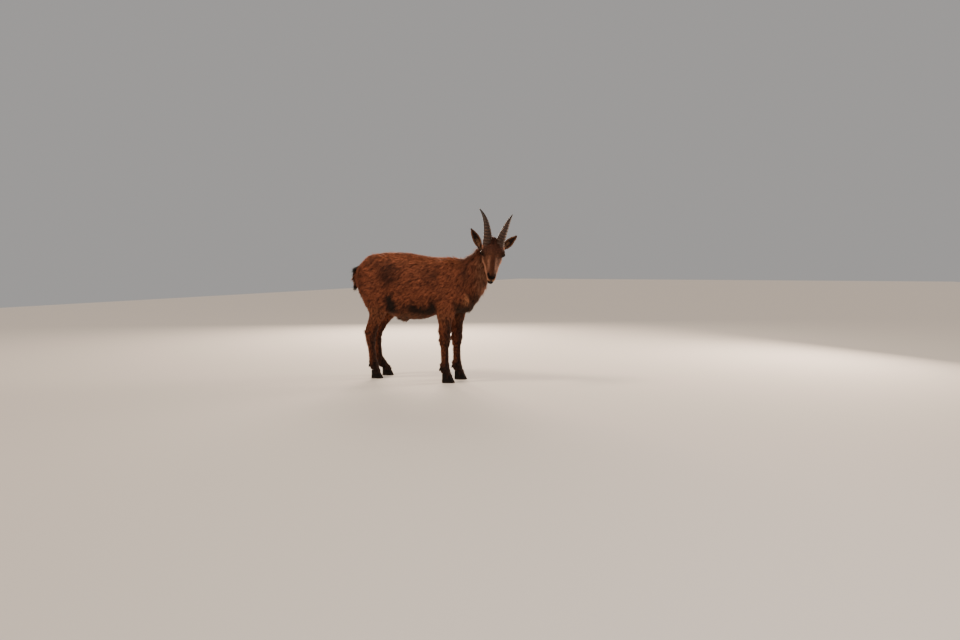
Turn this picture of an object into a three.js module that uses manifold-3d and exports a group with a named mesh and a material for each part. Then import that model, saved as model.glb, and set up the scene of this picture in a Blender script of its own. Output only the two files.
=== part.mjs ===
import * as THREE from "three";
import { mergeVertices } from "three/addons/utils/BufferGeometryUtils.js";
import Module from "manifold-3d";

const wasm = await Module();
wasm.setup();

// A young alpine ibex, standing square with its head turned to its right.
// Millimetres. +X points from tail to chest, +Y to the animal's left, +Z up.
// The floor is z = 0, and the withers are 700 mm above it with their coat.

// Driving sizes
const GAP = 0.3; // between two pieces that touch
const FORE_LEG_X = 215;
const FORE_LEG_OUT = 72; // half the distance between the fore legs
const HOCK_X = -257;
const HIND_LEG_OUT = 64;
const HEAD_ORIGIN = [490, -50, 788]; // where skull and neck meet
const HEAD_TURN = -66; // degrees from the body's line, to the animal's right
const HEAD_PITCH = 48.5; // degrees that the muzzle points below level
const HEAD_ROLL = 5.2; // degrees that the left side of the head hangs lower
const EYE_CENTRE = [106, 51, 10]; // along the muzzle, sideways, out of the forehead
const EYE_RADIUS = 15;
const LOCK_LENGTH = 128;
const LOCK_LIFT = 13; // how far the tips of the locks stand out from the body
const LOCK_THICK = 9;
const LOCK_ROOT = 8; // how deep the locks are rooted
const FRAME_ORIGIN = [107, -38]; // the footprint's middle, which becomes the part's origin

// Cross-sections of the trunk under its locks: x, top, bottom, half width
const TRUNK_SECTIONS = [
  [-352, 642, 530, 34],
  [-322, 674, 482, 72],
  [-270, 702, 438, 95],
  [-215, 717, 404, 104],
  [-145, 722, 372, 108],
  [-70, 720, 351, 115],
  [0, 712, 348, 119],
  [62, 702, 354, 116],
  [136, 693, 378, 106],
  [218, 691, 382, 93],
  [290, 676, 392, 79],
  [336, 636, 402, 60],
  [360, 585, 444, 30],
];
const BELLY_SAG = 0.16; // how much wider the trunk is below its middle than above

// Colour and roughness of each kind of surface
const FINISH = {
  coat: [0x7a4128, 0.95],
  darkCoat: [0x33190f, 0.95],
  horn: [0x4a3a2e, 0.6],
  hoof: [0x1c1613, 0.5],
  eye: [0x1a0d06, 0.15],
};

// Small helpers
const mix = (a, b, t) => a + (b - a) * t;
const clamp = (value, low, high) => Math.min(high, Math.max(low, value));
const vec = (p) => new THREE.Vector3(...p);
const degrees = (d) => (d * Math.PI) / 180;

// The value at x on straight lines through [x, value] pairs in rising order
function along(table, x) {
  const last = table.length - 1;
  if (x <= table[0][0]) return table[0][1];
  if (x >= table[last][0]) return table[last][1];
  const i = table.findIndex(([end]) => end >= x);
  const [[x0, v0], [x1, v1]] = [table[i - 1], table[i]];
  return mix(v0, v1, (x - x0) / (x1 - x0));
}

// A repeatable random number from 0 to 1
function randomFrom(seed) {
  let state = seed;
  return () => {
    state = (state + 0x6d2b79f5) | 0;
    let t = Math.imul(state ^ (state >>> 15), 1 | state);
    t = (t + Math.imul(t ^ (t >>> 7), 61 | t)) ^ t;
    return ((t ^ (t >>> 14)) >>> 0) / 4294967296;
  };
}

// Fields. Each is a function of x, y, z that is negative inside its form.

// A rounded bar from a to b with end radii ra and rb, squeezed sideways to flat of its depth
function bar(a, b, ra, rb, flat = 1) {
  const [ax, ay, az] = [a[0], a[1] / flat, a[2]];
  const [ux, uy, uz] = [b[0] - ax, b[1] / flat - ay, b[2] - az];
  const uu = Math.max(ux * ux + uy * uy + uz * uz, 1e-6);
  return (x, y, z) => {
    const [px, py, pz] = [x - ax, y / flat - ay, z - az];
    const t = clamp((px * ux + py * uy + pz * uz) / uu, 0, 1);
    return Math.hypot(px - t * ux, py - t * uy, pz - t * uz) - mix(ra, rb, t);
  };
}

// The same bar on both sides of the body
const pair = (a, b, ra, rb, flat) => [
  bar(a, b, ra, rb, flat),
  bar([a[0], -a[1], a[2]], [b[0], -b[1], b[2]], ra, rb, flat),
];

// Several fields as one, with their joins rounded over a distance
function blend(fields, rounding) {
  return (x, y, z) => {
    let d = 1e9;
    for (const field of fields) {
      const e = field(x, y, z);
      const h = Math.max(rounding - Math.abs(d - e), 0) / rounding;
      d = Math.min(d, e) - (h * h * rounding) / 4;
    }
    return d;
  };
}

// The trunk's top, bottom and half width at x, on a smooth line through the sections
function trunkAt(x) {
  const s = TRUNK_SECTIONS;
  let i = 0;
  while (i < s.length - 2 && x > s[i + 1][0]) i += 1;
  const [before, a, b, after] = [s[Math.max(i - 1, 0)], s[i], s[i + 1], s[Math.min(i + 2, s.length - 1)]];
  const span = b[0] - a[0];
  const t = (x - a[0]) / span;
  return [1, 2, 3].map((k) => {
    const slopeA = ((b[k] - before[k]) / (b[0] - before[0])) * span;
    const slopeB = ((after[k] - a[k]) / (after[0] - a[0])) * span;
    const [t2, t3] = [t * t, t * t * t];
    const ends = (2 * t3 - 3 * t2 + 1) * a[k] + (-2 * t3 + 3 * t2) * b[k];
    return ends + (t3 - 2 * t2 + t) * slopeA + (t3 - t2) * slopeB;
  });
}

function trunk(x, y, z) {
  const first = TRUNK_SECTIONS[0][0];
  const last = TRUNK_SECTIONS[TRUNK_SECTIONS.length - 1][0];
  const inside = clamp(x, first, last);
  const [top, bottom, half] = trunkAt(inside);
  const depth = (top - bottom) / 2;
  const up = (z - (top + bottom) / 2) / depth;
  const wide = half * (1 - BELLY_SAG * clamp(up, -1, 1));
  const power = 2.25;
  const share = (Math.abs(y / wide) ** power + Math.abs(up) ** power) ** (1 / power);
  const size = Math.min(half, depth);
  return Math.hypot(x - inside, share * size) - size;
}

const shoulders = [
  ...pair([212, 50, 618], [290, 62, 485], 56, 56, 0.52),
  ...pair([292, 62, 480], [222, 68, 418], 50, 47, 0.62),
  ...pair([205, 66, 470], [222, 66, 405], 58, 46, 0.6),
];
const haunches = [
  ...pair([-228, 52, 628], [-178, 66, 500], 78, 80, 0.56),
  ...pair([-292, 42, 592], [-236, 66, 478], 54, 62, 0.6),
  ...pair([-150, 72, 500], [-150, 78, 445], 48, 40, 0.55),
];
const neckBars = [
  bar([286, 0, 552], [330, 0, 580], 118, 96, 0.68),
  bar([330, 0, 580], [386, -4, 638], 96, 66, 0.8),
  bar([386, -4, 638], [438, -18, 694], 66, 51, 0.92),
  bar([438, -18, 694], [480, -42, 738], 51, 44, 1),
];
const sheath = bar([-62, 0, 352], [-84, 0, 350], 14, 9, 0.8);

const trunkField = blend([trunk, ...shoulders, ...haunches, ...neckBars.slice(0, 2), sheath], 30);
const neckField = blend([trunk, ...neckBars], 34);

// Legs. How far each one leans forward at heights above the floor, from its twin's place.
const LEAN = {
  fore_left: [
    [40, 15],
    [90, 12],
    [400, 12],
  ],
  fore_right: [[0, 0]],
  hind_left: [
    [40, 2],
    [76, -20],
    [104, -29],
    [200, -29],
    [262, -25],
    [310, -19],
    [400, -6],
    [450, 0],
  ],
  hind_right: [[0, 0]],
};

// A leg's bars from the trunk down, for side 1 (left) or -1 (right)
function foreLegBars(side, lean) {
  const x = FORE_LEG_X;
  const y = side * FORE_LEG_OUT;
  const place = (dx, out, z) => [x + dx + along(lean, z), y + side * out, z];
  return [
    bar(place(14, -4, 440), place(2, 0, 372), 50, 43, 0.66),
    bar(place(2, 0, 372), place(-1, 0, 292), 42, 32, 0.76),
    bar(place(-1, 0, 292), place(0, 0, 248), 31, 28, 0.86),
    bar(place(3, 0, 247), place(1, 0, 222), 27, 25, 0.96),
    bar(place(-7, 0, 240), place(-5, 0, 226), 22, 19, 0.9),
    bar(place(-1, 0, 222), place(1, 0, 104), 21, 20, 0.86),
    bar(place(-2, 0, 92), place(-1, 0, 74), 23, 23, 0.98),
    bar(place(-10, 0, 88), place(-8, 0, 72), 17, 16, 1.15),
    bar(place(2, 0, 76), place(17, 0, 38), 20, 22, 1.06),
  ];
}
function hindLegBars(side, lean) {
  const x = HOCK_X;
  const y = side * HIND_LEG_OUT;
  const place = (dx, out, z) => [x + dx + along(lean, z), y + side * out, z];
  return [
    bar(place(55, 6, 505), place(82, 12, 440), 84, 58, 0.56),
    bar(place(30, 8, 450), place(50, 8, 385), 54, 50, 0.56),
    bar(place(54, 7, 395), place(14, 1, 300), 46, 31, 0.72),
    bar(place(-10, 3, 350), place(-20, 0, 276), 13, 12, 0.8),
    bar(place(14, 1, 300), place(4, 0, 256), 30, 25, 0.84),
    bar(place(-24, 0, 268), place(-8, 0, 226), 13, 17, 0.95),
    bar(place(2, 0, 246), place(3, 0, 205), 23, 20, 0.9),
    bar(place(1, 0, 215), place(14, 0, 104), 20, 19, 0.88),
    bar(place(17, 0, 90), place(20, 0, 74), 22, 22, 0.98),
    bar(place(9, 0, 88), place(12, 0, 72), 16, 15, 1.15),
    bar(place(23, 0, 76), place(37, 0, 38), 19, 21, 1.06),
  ];
}

// Two small blunt claws hang behind each fetlock
function dewclawShape(x, y) {
  const claws = [11, -11].map((out) => {
    const form = new THREE.SphereGeometry(1, 6, 4).scale(8, 7.5, 15).rotateY(degrees(24));
    return solidOf(form.translate(x, y + out, 76));
  });
  return joined(claws);
}

// Surfaces. Rays leave a line, and each ends where a field turns positive.

// The place on a ray where the field passes the level
function rayEnd(from, direction, field, reach, level) {
  const at = (r) => field(...from.clone().addScaledVector(direction, r).toArray()) - level;
  const steps = 48;
  let near = 0;
  let far = reach;
  for (let i = 1; i <= steps; i += 1) {
    if (at((reach * i) / steps) > 0) {
      far = (reach * i) / steps;
      break;
    }
    near = (reach * i) / steps;
  }
  for (let i = 0; i < 14; i += 1) {
    const middle = (near + far) / 2;
    if (at(middle) > 0) far = middle;
    else near = middle;
  }
  return from.clone().addScaledVector(direction, Math.max(near, 0.4));
}

// A closed surface from rows of points between two end points
function closedGrid(rows, startPoint, endPoint) {
  const sides = rows[0].length;
  const points = [startPoint, ...rows.flat(), endPoint];
  const faces = [];
  const at = (i, j) => 1 + i * sides + (j % sides);
  for (let j = 0; j < sides; j += 1) {
    faces.push(0, at(0, j + 1), at(0, j));
    faces.push(points.length - 1, at(rows.length - 1, j), at(rows.length - 1, j + 1));
    for (let i = 0; i + 1 < rows.length; i += 1) {
      faces.push(at(i, j), at(i, j + 1), at(i + 1, j + 1));
      faces.push(at(i, j), at(i + 1, j + 1), at(i + 1, j));
    }
  }
  let volume = 0;
  for (let i = 0; i < faces.length; i += 3) {
    const [a, b, c] = [points[faces[i]], points[faces[i + 1]], points[faces[i + 2]]];
    volume += a.dot(b.clone().cross(c));
  }
  if (volume < 0) faces.reverse();
  const geometry = new THREE.BufferGeometry();
  const position = points.flatMap((p) => p.toArray());
  geometry.setAttribute("position", new THREE.Float32BufferAttribute(position, 3));
  geometry.setIndex(faces);
  return geometry;
}

// Directions across a smooth line through points
function frameOn(line, t) {
  const curve = new THREE.CatmullRomCurve3(line.map(vec), false, "centripetal");
  const forward = curve.getTangent(t);
  const left = new THREE.Vector3(0, 1, 0).addScaledVector(forward, -forward.y).normalize();
  return { from: curve.getPoint(t), forward, left, up: forward.clone().cross(left) };
}

// A ray's direction: turned round the line from straight up, and tilted towards the line's end
function rayDirection(frame, turn, tilt) {
  return frame.up
    .clone()
    .multiplyScalar(Math.cos(turn) * Math.cos(tilt))
    .addScaledVector(frame.left, Math.sin(turn) * Math.cos(tilt))
    .addScaledVector(frame.forward, Math.sin(tilt));
}

// Rays stand across the line, and fan out past its two ends to close them
function surfaceAround(line, field, { rings, sides, capRings = 3, reach, level = 0 }) {
  const ends = [frameOn(line, 0), frameOn(line, 1)];
  const rowAt = (frame, tilt) =>
    Array.from({ length: sides }, (_, j) => {
      const direction = rayDirection(frame, (2 * Math.PI * j) / sides, tilt);
      return rayEnd(frame.from, direction, field, reach, level);
    });
  const rows = [];
  for (let k = capRings; k >= 1; k -= 1) rows.push(rowAt(ends[0], (-Math.PI / 2) * (k / (capRings + 1))));
  for (let i = 0; i <= rings; i += 1) rows.push(rowAt(frameOn(line, i / rings), 0));
  for (let k = 1; k <= capRings; k += 1) rows.push(rowAt(ends[1], (Math.PI / 2) * (k / (capRings + 1))));
  const startPoint = rayEnd(ends[0].from, ends[0].forward.clone().negate(), field, reach, level);
  const endPoint = rayEnd(ends[1].from, ends[1].forward, field, reach, level);
  return closedGrid(rows, startPoint, endPoint);
}

// A round bar along a curve, thinner at both ends
function taperedTube(points, radius, { steps = 6, sides = 5 } = {}) {
  const curve = new THREE.CatmullRomCurve3(points, false, "centripetal");
  const rows = Array.from({ length: steps + 1 }, (_, i) => {
    const t = mix(0.05, 0.95, i / steps);
    const forward = curve.getTangent(t);
    const side = new THREE.Vector3(0.31, 0.27, 0.91).cross(forward).normalize();
    const up = forward.clone().cross(side);
    const r = radius * Math.sin(Math.PI * mix(0.18, 0.82, i / steps));
    return Array.from({ length: sides }, (__, j) => {
      const turn = (2 * Math.PI * j) / sides;
      return curve
        .getPoint(t)
        .addScaledVector(side, r * Math.cos(turn))
        .addScaledVector(up, r * Math.sin(turn));
    });
  });
  return closedGrid(rows, curve.getPoint(0), curve.getPoint(1));
}

// Solids for joining and cutting

function solidOf(geometry) {
  const plain = geometry.clone();
  for (const name of Object.keys(plain.attributes)) if (name !== "position") plain.deleteAttribute(name);
  const merged = mergeVertices(plain, 1e-4);
  return new wasm.Manifold(
    new wasm.Mesh({
      numProp: 3,
      vertProperties: new Float32Array(merged.attributes.position.array),
      triVerts: new Uint32Array(merged.index.array),
    }),
  );
}

function geometryOf(solid) {
  const { numProp, vertProperties, triVerts } = solid.getMesh();
  const count = vertProperties.length / numProp;
  const position = new Float32Array(count * 3);
  for (let i = 0; i < count; i += 1) {
    position.set(vertProperties.subarray(i * numProp, i * numProp + 3), i * 3);
  }
  const geometry = new THREE.BufferGeometry();
  geometry.setAttribute("position", new THREE.BufferAttribute(position, 3));
  geometry.setIndex(new THREE.BufferAttribute(new Uint32Array(triVerts), 1));
  return geometry;
}

const largest = (solid) => solid.decompose().reduce((a, b) => (a.volume() >= b.volume() ? a : b));
const joined = (solids) => wasm.Manifold.union(solids);

// The same solid with fewer points, within a distance of it
const thinned = (solid, distance = 0.5) => solid.simplify(distance);

// The share of a solid on the side of a plane that the normal points to, half a gap clear of it
function beyond(solid, { normal, point }) {
  const n = vec(normal).normalize();
  return solid.trimByPlane(n.toArray(), n.dot(vec(point)) + GAP / 2);
}
const before = (solid, { normal, point }) => beyond(solid, { normal: normal.map((c) => -c), point });

// An upright-sided block: an outline of [x, z] corners, swept from y0 to y1
function block(outline, y0, y1, grow = 0) {
  const centre = [0, 1].map((k) => outline.reduce((sum, p) => sum + p[k], 0) / outline.length);
  const wall = (y) =>
    outline.map(([x, z]) => {
      const [dx, dz] = [x - centre[0], z - centre[1]];
      const scale = 1 + (1.3 * grow) / Math.hypot(dx, dz);
      return new THREE.Vector3(centre[0] + dx * scale, y, centre[1] + dz * scale);
    });
  const sign = Math.sign(y1 - y0);
  const [near, far] = [y0 - sign * grow, y1 + sign * grow];
  const middle = (y) => new THREE.Vector3(centre[0], y, centre[1]);
  return solidOf(closedGrid([wall(near), wall(far)], middle(near), middle(far)));
}

const ibex = new THREE.Group();
function addNode(name, solid, finish) {
  const [color, roughness] = FINISH[finish];
  const material = new THREE.MeshStandardMaterial({ color, roughness, metalness: 0 });
  const mesh = new THREE.Mesh(geometryOf(thinned(largest(solid), 0.04)), material);
  mesh.name = name;
  ibex.add(mesh);
}

// Head. Its own frame has +X along the muzzle, +Y to the animal's left, +Z out of the forehead.

const HEAD = new THREE.Matrix4()
  .makeTranslation(...HEAD_ORIGIN)
  .multiply(new THREE.Matrix4().makeRotationZ(degrees(HEAD_TURN)))
  .multiply(new THREE.Matrix4().makeRotationX(degrees(-HEAD_ROLL)))
  .multiply(new THREE.Matrix4().makeRotationY(degrees(HEAD_PITCH)));

const headField = blend(
  [
    bar([32, 0, -8], [72, 0, 9], 36, 45, 1.2),
    bar([52, 0, 22], [104, 0, 8], 34, 34, 1.5),
    ...pair([80, 30, 16], [105, 43, 11], 27, 20),
    ...pair([100, 34, 1], [164, 19, -15], 23, 18),
    bar([106, 0, 10], [232, 0, -16], 28, 15),
    bar([104, 0, -12], [196, 0, -26], 44, 30, 0.95),
    bar([196, 0, -28], [238, 0, -30], 28, 23, 1.05),
    bar([234, 0, -20], [245, 0, -24], 17, 13.5, 1.25),
    ...pair([212, 10, -40], [243, 5, -40], 14, 11.5),
    ...pair([56, 26, -26], [118, 27, -34], 32, 26),
    ...pair([112, 24, -30], [188, 14, -35], 25, 19),
    ...pair([64, 28, -48], [122, 20, -58], 20, 17),
    ...pair([122, 20, -58], [206, 8, -60], 17, 13),
    bar([204, 0, -61], [236, 0, -67], 15.5, 14.5, 1.15),
  ],
  12,
);
const HEAD_LINE = [
  [24, 0, 0],
  [90, 0, -10],
  [160, 0, -24],
  [230, 0, -34],
];
const MOUTH = { normal: [-0.14, 0, 1], point: [238, 0, -50] };

const headShape = (level) =>
  solidOf(surfaceAround(HEAD_LINE, headField, { rings: 19, sides: 22, capRings: 4, reach: 120, level }));
const toWorld = (solid) => solid.transform(HEAD.toArray());

// A direction or a point on the animal's left (1) or right (-1), from its left one
const onSide = ([x, y, z], side) => new THREE.Vector3(x, side * y, z);

const EYE_LOOK = [0.5, 0.84, 0.14];
const EYE_FRONT = [0.84, -0.52, 0.12];

// Lids: a raised almond round each eye, from the skull up to a rim that lies on the eyeball
function lidShape(side) {
  const look = onSide(EYE_LOOK, side).normalize();
  const front = onSide(EYE_FRONT, side);
  front.addScaledVector(look, -front.dot(look)).normalize();
  const over = look.clone().cross(front);
  if (over.z < 0) over.negate();
  const centre = onSide(EYE_CENTRE, side);
  const sides = 14;
  const ring = (long, tall, atCorner, atMiddle) =>
    Array.from({ length: sides }, (_, j) => {
      const turn = (2 * Math.PI * j) / sides;
      return centre
        .clone()
        .addScaledVector(front, long * Math.cos(turn))
        .addScaledVector(over, tall * Math.sin(turn))
        .addScaledVector(look, mix(atCorner, atMiddle, Math.sin(turn) ** 2));
    });
  const rows = [
    ring(25, 22, -8, -4),
    ring(21, 16.5, 2.5, 8),
    ring(16.5, 11.5, 6, 12.4),
    ring(13.4, 8, 7.4, 13.4),
    ring(11.5, 6.5, 4, 9),
  ];
  return solidOf(closedGrid(rows, centre.clone().addScaledVector(look, -10), centre));
}

function eyeball(side, radius) {
  const ball = new THREE.SphereGeometry(radius, 12, 8).translate(...onSide(EYE_CENTRE, side));
  return solidOf(ball);
}

// Nostrils are slits that run down to the middle of the nose
const NOSTRIL = [
  [229, 23, -5],
  [242, 18, -9],
  [255, 8, -21],
];
const LIP_CREASE = [
  [182, 32, -57.8],
  [212, 25, -53.6],
  [240, 14, -49.7],
  [256, 0, -47.5],
];

// Horns sweep back and outwards. Each has ridges that are higher in front.

const HORN = {
  left: { root: [56, 35, 45], length: 170, spread: 56, curl: 1.25 },
  right: { root: [56, 34, 45], length: 187, spread: 56, curl: 2 },
  leanStart: 30, // degrees back from the forehead's normal
  leanEnd: 96,
  deep: 26, // half depth and half width at the root
  wide: 22.5,
  slender: 1.4, // power of the taper: higher keeps the horn thick for longer
  ridges: 9,
  ridgedShare: 0.72,
};

function hornPoint(side, share) {
  const { root, length, spread, curl } = side > 0 ? HORN.left : HORN.right;
  const [start, turn] = [degrees(HORN.leanStart), degrees(HORN.leanEnd - HORN.leanStart)];
  const lean = start + turn * share;
  const back = (length * (Math.cos(start) - Math.cos(lean))) / turn;
  const up = (length * (Math.sin(lean) - Math.sin(start))) / turn;
  const [x, y, z] = root;
  return new THREE.Vector3(x - back, side * (y + spread * Math.max(share, 0) ** curl), z + up);
}

function hornShape(side) {
  const [steps, sides] = [30, 10];
  const rows = Array.from({ length: steps + 1 }, (_, i) => {
    const share = mix(-0.14, 0.985, i / steps);
    const grown = Math.max(share, 0);
    const forward = hornPoint(side, share + 0.01).sub(hornPoint(side, share - 0.01)).normalize();
    const left = new THREE.Vector3(0, 1, 0).addScaledVector(forward, -forward.y).normalize();
    const front = left.clone().cross(forward);
    const taper = (1 - grown ** HORN.slender) * 0.93 + 0.07;
    const ridged = clamp(1 - grown / HORN.ridgedShare, 0, 1) ** 0.35;
    const wave = Math.cos((2 * Math.PI * HORN.ridges * share) / HORN.ridgedShare) * ridged;
    return Array.from({ length: sides }, (__, j) => {
      const turn = (2 * Math.PI * j) / sides;
      const ridge = 1 + 0.07 * wave * (0.4 + 0.6 * Math.max(0, Math.cos(turn)));
      return hornPoint(side, share)
        .addScaledVector(front, HORN.deep * taper * ridge * Math.cos(turn))
        .addScaledVector(left, HORN.wide * taper * ridge * Math.sin(turn));
    });
  });
  return solidOf(closedGrid(rows, hornPoint(side, -0.14), hornPoint(side, 1)));
}

// Ears are leaf-shaped shells, rolled at the base and open towards the front

const EAR = { width: 40, thick: 5, roll: 1.3, rooted: 0.36, open: [0.6, 0.3, 0.74] };
const EAR_PLACE = {
  left: { root: [44, 64, -4], reach: [-50, 58, 44] },
  right: { root: [44, 70, -10], reach: [-62, 52, 60] },
};

function earShape(name, side) {
  const root = onSide(EAR_PLACE[name].root, side);
  const reach = onSide(EAR_PLACE[name].reach, side);
  const length = reach.length();
  const forward = reach.clone().normalize();
  const open = onSide(EAR.open, side);
  open.addScaledVector(forward, -open.dot(forward)).normalize();
  const across = forward.clone().cross(open).normalize();
  const [rings, halfSides] = [9, 5];
  const rows = Array.from({ length: rings + 1 }, (_, i) => {
    const s = mix(-EAR.rooted, 1, i / rings);
    const blade = clamp(s, 0, 1);
    const leaf = (EAR.width / 2) * Math.sin(Math.PI * mix(0.16, 0.975, blade ** 0.85)) ** 0.8;
    const half = leaf * (s < 0 ? 1 + 1.2 * s : 1);
    const roll = mix(EAR.roll, 0.6, blade);
    const radius = half / Math.sin(roll);
    const thick = mix(EAR.thick * 1.4, EAR.thick * 0.6, blade) / 2;
    const filled = clamp((0.16 - s) / 0.22, 0, 1);
    const centre = root
      .clone()
      .addScaledVector(forward, length * s)
      .addScaledVector(open, -6 * Math.sin(Math.PI * blade));
    const shell = (u, out) => {
      const depth = (radius + out * thick) * Math.cos(roll * u) - radius * Math.cos(roll);
      const filling = out < 0 ? filled * (depth + 0.35 * radius * Math.cos((Math.PI / 2) * u)) : 0;
      return centre
        .clone()
        .addScaledVector(across, (radius + out * thick) * Math.sin(roll * u))
        .addScaledVector(open, filling - depth);
    };
    const count = halfSides + 1;
    const outside = Array.from({ length: count }, (__, j) => shell(mix(-1, 1, j / halfSides), 1));
    const inside = Array.from({ length: count }, (__, j) => shell(mix(0.95, -0.95, j / halfSides), -1));
    return [...outside, ...inside];
  });
  const tip = root.clone().addScaledVector(forward, length + 4);
  const base = root.clone().addScaledVector(forward, -EAR.rooted * length - 3);
  return solidOf(closedGrid(rows, base, tip));
}

// Feet: two claws side by side, each with a flat sole, a blunt toe and a straight inner wall

const CLAW = { length: 70, width: 23, height: 50, split: 2.2 };

function clawShape(x, y, side, size) {
  const outline = [
    [-0.46, 0.1],
    [-0.5, 0.5],
    [-0.38, 0.92],
    [-0.1, 1],
    [0.2, 0.9],
    [0.42, 0.56],
    [0.52, 0.16],
    [0.42, 0.02],
    [0, 0],
  ];
  const level = (z, lengthShare, widthShare, back) =>
    outline.map(
      ([reach, out]) =>
        new THREE.Vector3(
          x + (reach * CLAW.length * lengthShare - back) * size,
          y + side * (CLAW.split + out * CLAW.width * widthShare * size),
          z * size,
        ),
    );
  const rows = [
    level(0, 0.97, 0.95, 0),
    level(4, 1, 1, 0),
    level(26, 0.82, 0.96, 5),
    level(CLAW.height, 0.62, 0.88, 12),
  ];
  const middle = (row, z) => {
    const sum = row.reduce((total, p) => total.add(p), new THREE.Vector3());
    return sum.multiplyScalar(1 / row.length).setZ(z);
  };
  return solidOf(closedGrid(rows, middle(rows[0], 0), middle(rows[3], CLAW.height * size)));
}

// Tail: short and hanging

const TAIL_LINE = [
  [-340, 0, 636],
  [-372, 0, 622],
  [-384, 0, 580],
  [-383, 0, 536],
];
const tailField = blend(
  [
    bar(TAIL_LINE[0], TAIL_LINE[1], 18, 16, 1.1),
    bar(TAIL_LINE[1], TAIL_LINE[2], 15, 12, 1.2),
    bar(TAIL_LINE[2], TAIL_LINE[3], 12, 7, 1.2),
  ],
  8,
);

// Main surfaces

const TRUNK_LINE = [
  [-318, 0, 590],
  [-200, 0, 562],
  [0, 0, 535],
  [200, 0, 535],
  [330, 0, 545],
];
const NECK_LINE = [
  [330, 0, 560],
  [394, -6, 640],
  [442, -24, 706],
  [474, -40, 744],
];
const trunkShape = (level) =>
  solidOf(surfaceAround(TRUNK_LINE, trunkField, { rings: 18, sides: 18, capRings: 4, reach: 260, level }));
const neckSolid = solidOf(
  surfaceAround(NECK_LINE, neckField, { rings: 7, sides: 16, capRings: 2, reach: 200 }),
);
const NECK_CUT = { normal: [0.78, 0, 0.62], point: [352, 0, 590] };
const neckAndOverlap = beyond(neckSolid, { normal: NECK_CUT.normal, point: [332, 0, 570] });
const coreSolid = joined([trunkShape(0), neckAndOverlap]);

const FORE_BLOCK = [
  [138, -10],
  [300, -10],
  [300, 426],
  [138, 426],
];
const THIGH_BLOCK = [
  [-95, -10],
  [-90, 432],
  [-120, 520],
  [-200, 602],
  [-290, 618],
  [-352, 568],
  [-400, 440],
  [-400, -10],
];

// Planes across the legs
const ELBOW = { normal: [0, 0, 1], point: [0, 0, 366] };
const STIFLE = { normal: [0.36, 0, 0.93], point: [-215, 0, 396] };
const FETLOCK = { normal: [0, 0, 1], point: [0, 0, 98] };

const LEGS = [
  { name: "fore_left", side: 1, fore: true },
  { name: "fore_right", side: -1, fore: true },
  { name: "hind_left", side: 1, fore: false },
  { name: "hind_right", side: -1, fore: false },
].map(({ name, side, fore }) => {
  const lean = LEAN[name];
  const [x, y] = fore ? [FORE_LEG_X, side * FORE_LEG_OUT] : [HOCK_X, side * HIND_LEG_OUT];
  const place = (dx, z) => [x + dx + along(lean, z), y, z];
  const foreLine = [place(12, 430), place(0, 350), place(0, 240), place(0, 90), place(16, 44)];
  const hindUpper = [place(58, 500), place(52, 410), place(14, 300)];
  const hindLine = [...hindUpper, place(2, 240), place(18, 90), place(36, 44)];
  const bars = fore ? foreLegBars(side, lean) : hindLegBars(side, lean);
  const options = { rings: fore ? 18 : 21, sides: 12, capRings: 2, reach: 120 };
  const field = blend(bars, 14);
  return {
    name,
    side,
    fore,
    field,
    solid: thinned(solidOf(surfaceAround(fore ? foreLine : hindLine, field, options))),
    area: { outline: fore ? FORE_BLOCK : THIGH_BLOCK, from: side * (fore ? 38 : 28), to: side * 190 },
    knee: fore ? 250 : 262,
    claws: [x + (fore ? 21 : 41) + along(lean, 0), y, fore ? 1 : 0.94],
    dewclaws: [x + (fore ? -27 : -6) + along(lean, 76), y],
  };
});

// The coat. Locks are rooted in the body, follow its surface, and overlap like shingles.

const bodyFields = [trunkField, neckField, ...LEGS.map(({ field }) => field)];
const bodyField = (x, y, z) => Math.min(...bodyFields.map((field) => field(x, y, z)));

// The outward direction of a field at a point
function normalAt(field, { x, y, z }) {
  const h = 1.5;
  const slope = (dx, dy, dz) => field(x + dx, y + dy, z + dz) - field(x - dx, y - dy, z - dz);
  return new THREE.Vector3(slope(h, 0, 0), slope(0, h, 0), slope(0, 0, h)).normalize();
}

// The coat lies back and down on the sides, and nearly straight down on chest, neck and buttocks
function coatLie({ x }) {
  const chest = clamp((x - 250) / 80, 0, 1);
  const rump = clamp((-240 - x) / 80, 0, 1);
  const steep = Math.max(chest * 0.75, rump);
  return new THREE.Vector3(mix(-0.82, -0.34, steep), 0, mix(-0.5, -0.94, steep));
}

// Steps along a surface, each with its place, its outward direction and its way on
function pathOver(field, root, lie, length, steps) {
  const place = root.clone();
  const path = [];
  for (let i = 0; i <= steps; i += 1) {
    for (let k = 0; k < 3; k += 1) {
      place.addScaledVector(normalAt(field, place), -field(...place.toArray()));
    }
    const normal = normalAt(field, place);
    const way = lie(place);
    way.addScaledVector(normal, -way.dot(normal)).normalize();
    path.push({ place: place.clone(), normal, way });
    place.addScaledVector(way, length / steps);
  }
  return path;
}

// A flat lock that widens from its root and then tapers to its tip as it rises from the surface
function lockShape(path, { width, thick, lift, rooted }) {
  const heights = [-rooted, 0.15 * lift, 0.7 * lift, lift];
  const widths = [0.8, 1, 0.8];
  const thicks = [1, 1, 0.7];
  const points = path.map(({ place, normal }, i) => place.clone().addScaledVector(normal, heights[i]));
  const rows = widths.map((share, i) => {
    const { normal, way } = path[i];
    const across = normal.clone().cross(way);
    const half = (share * width) / 2;
    const deep = (thicks[i] * thick) / 2;
    return [
      [half, -deep],
      [0, deep],
      [-half, -deep],
    ].map(([out, up]) => points[i].clone().addScaledVector(across, out).addScaledVector(normal, up));
  });
  const start = points[0].clone().addScaledVector(path[0].way, -3);
  return solidOf(closedGrid(rows, start, points[3]));
}

// Rays past a line's ends tilt outwards
const capTilt = (t) => 3.4 * (Math.min(t, 0) + Math.max(t - 1, 0));

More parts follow.
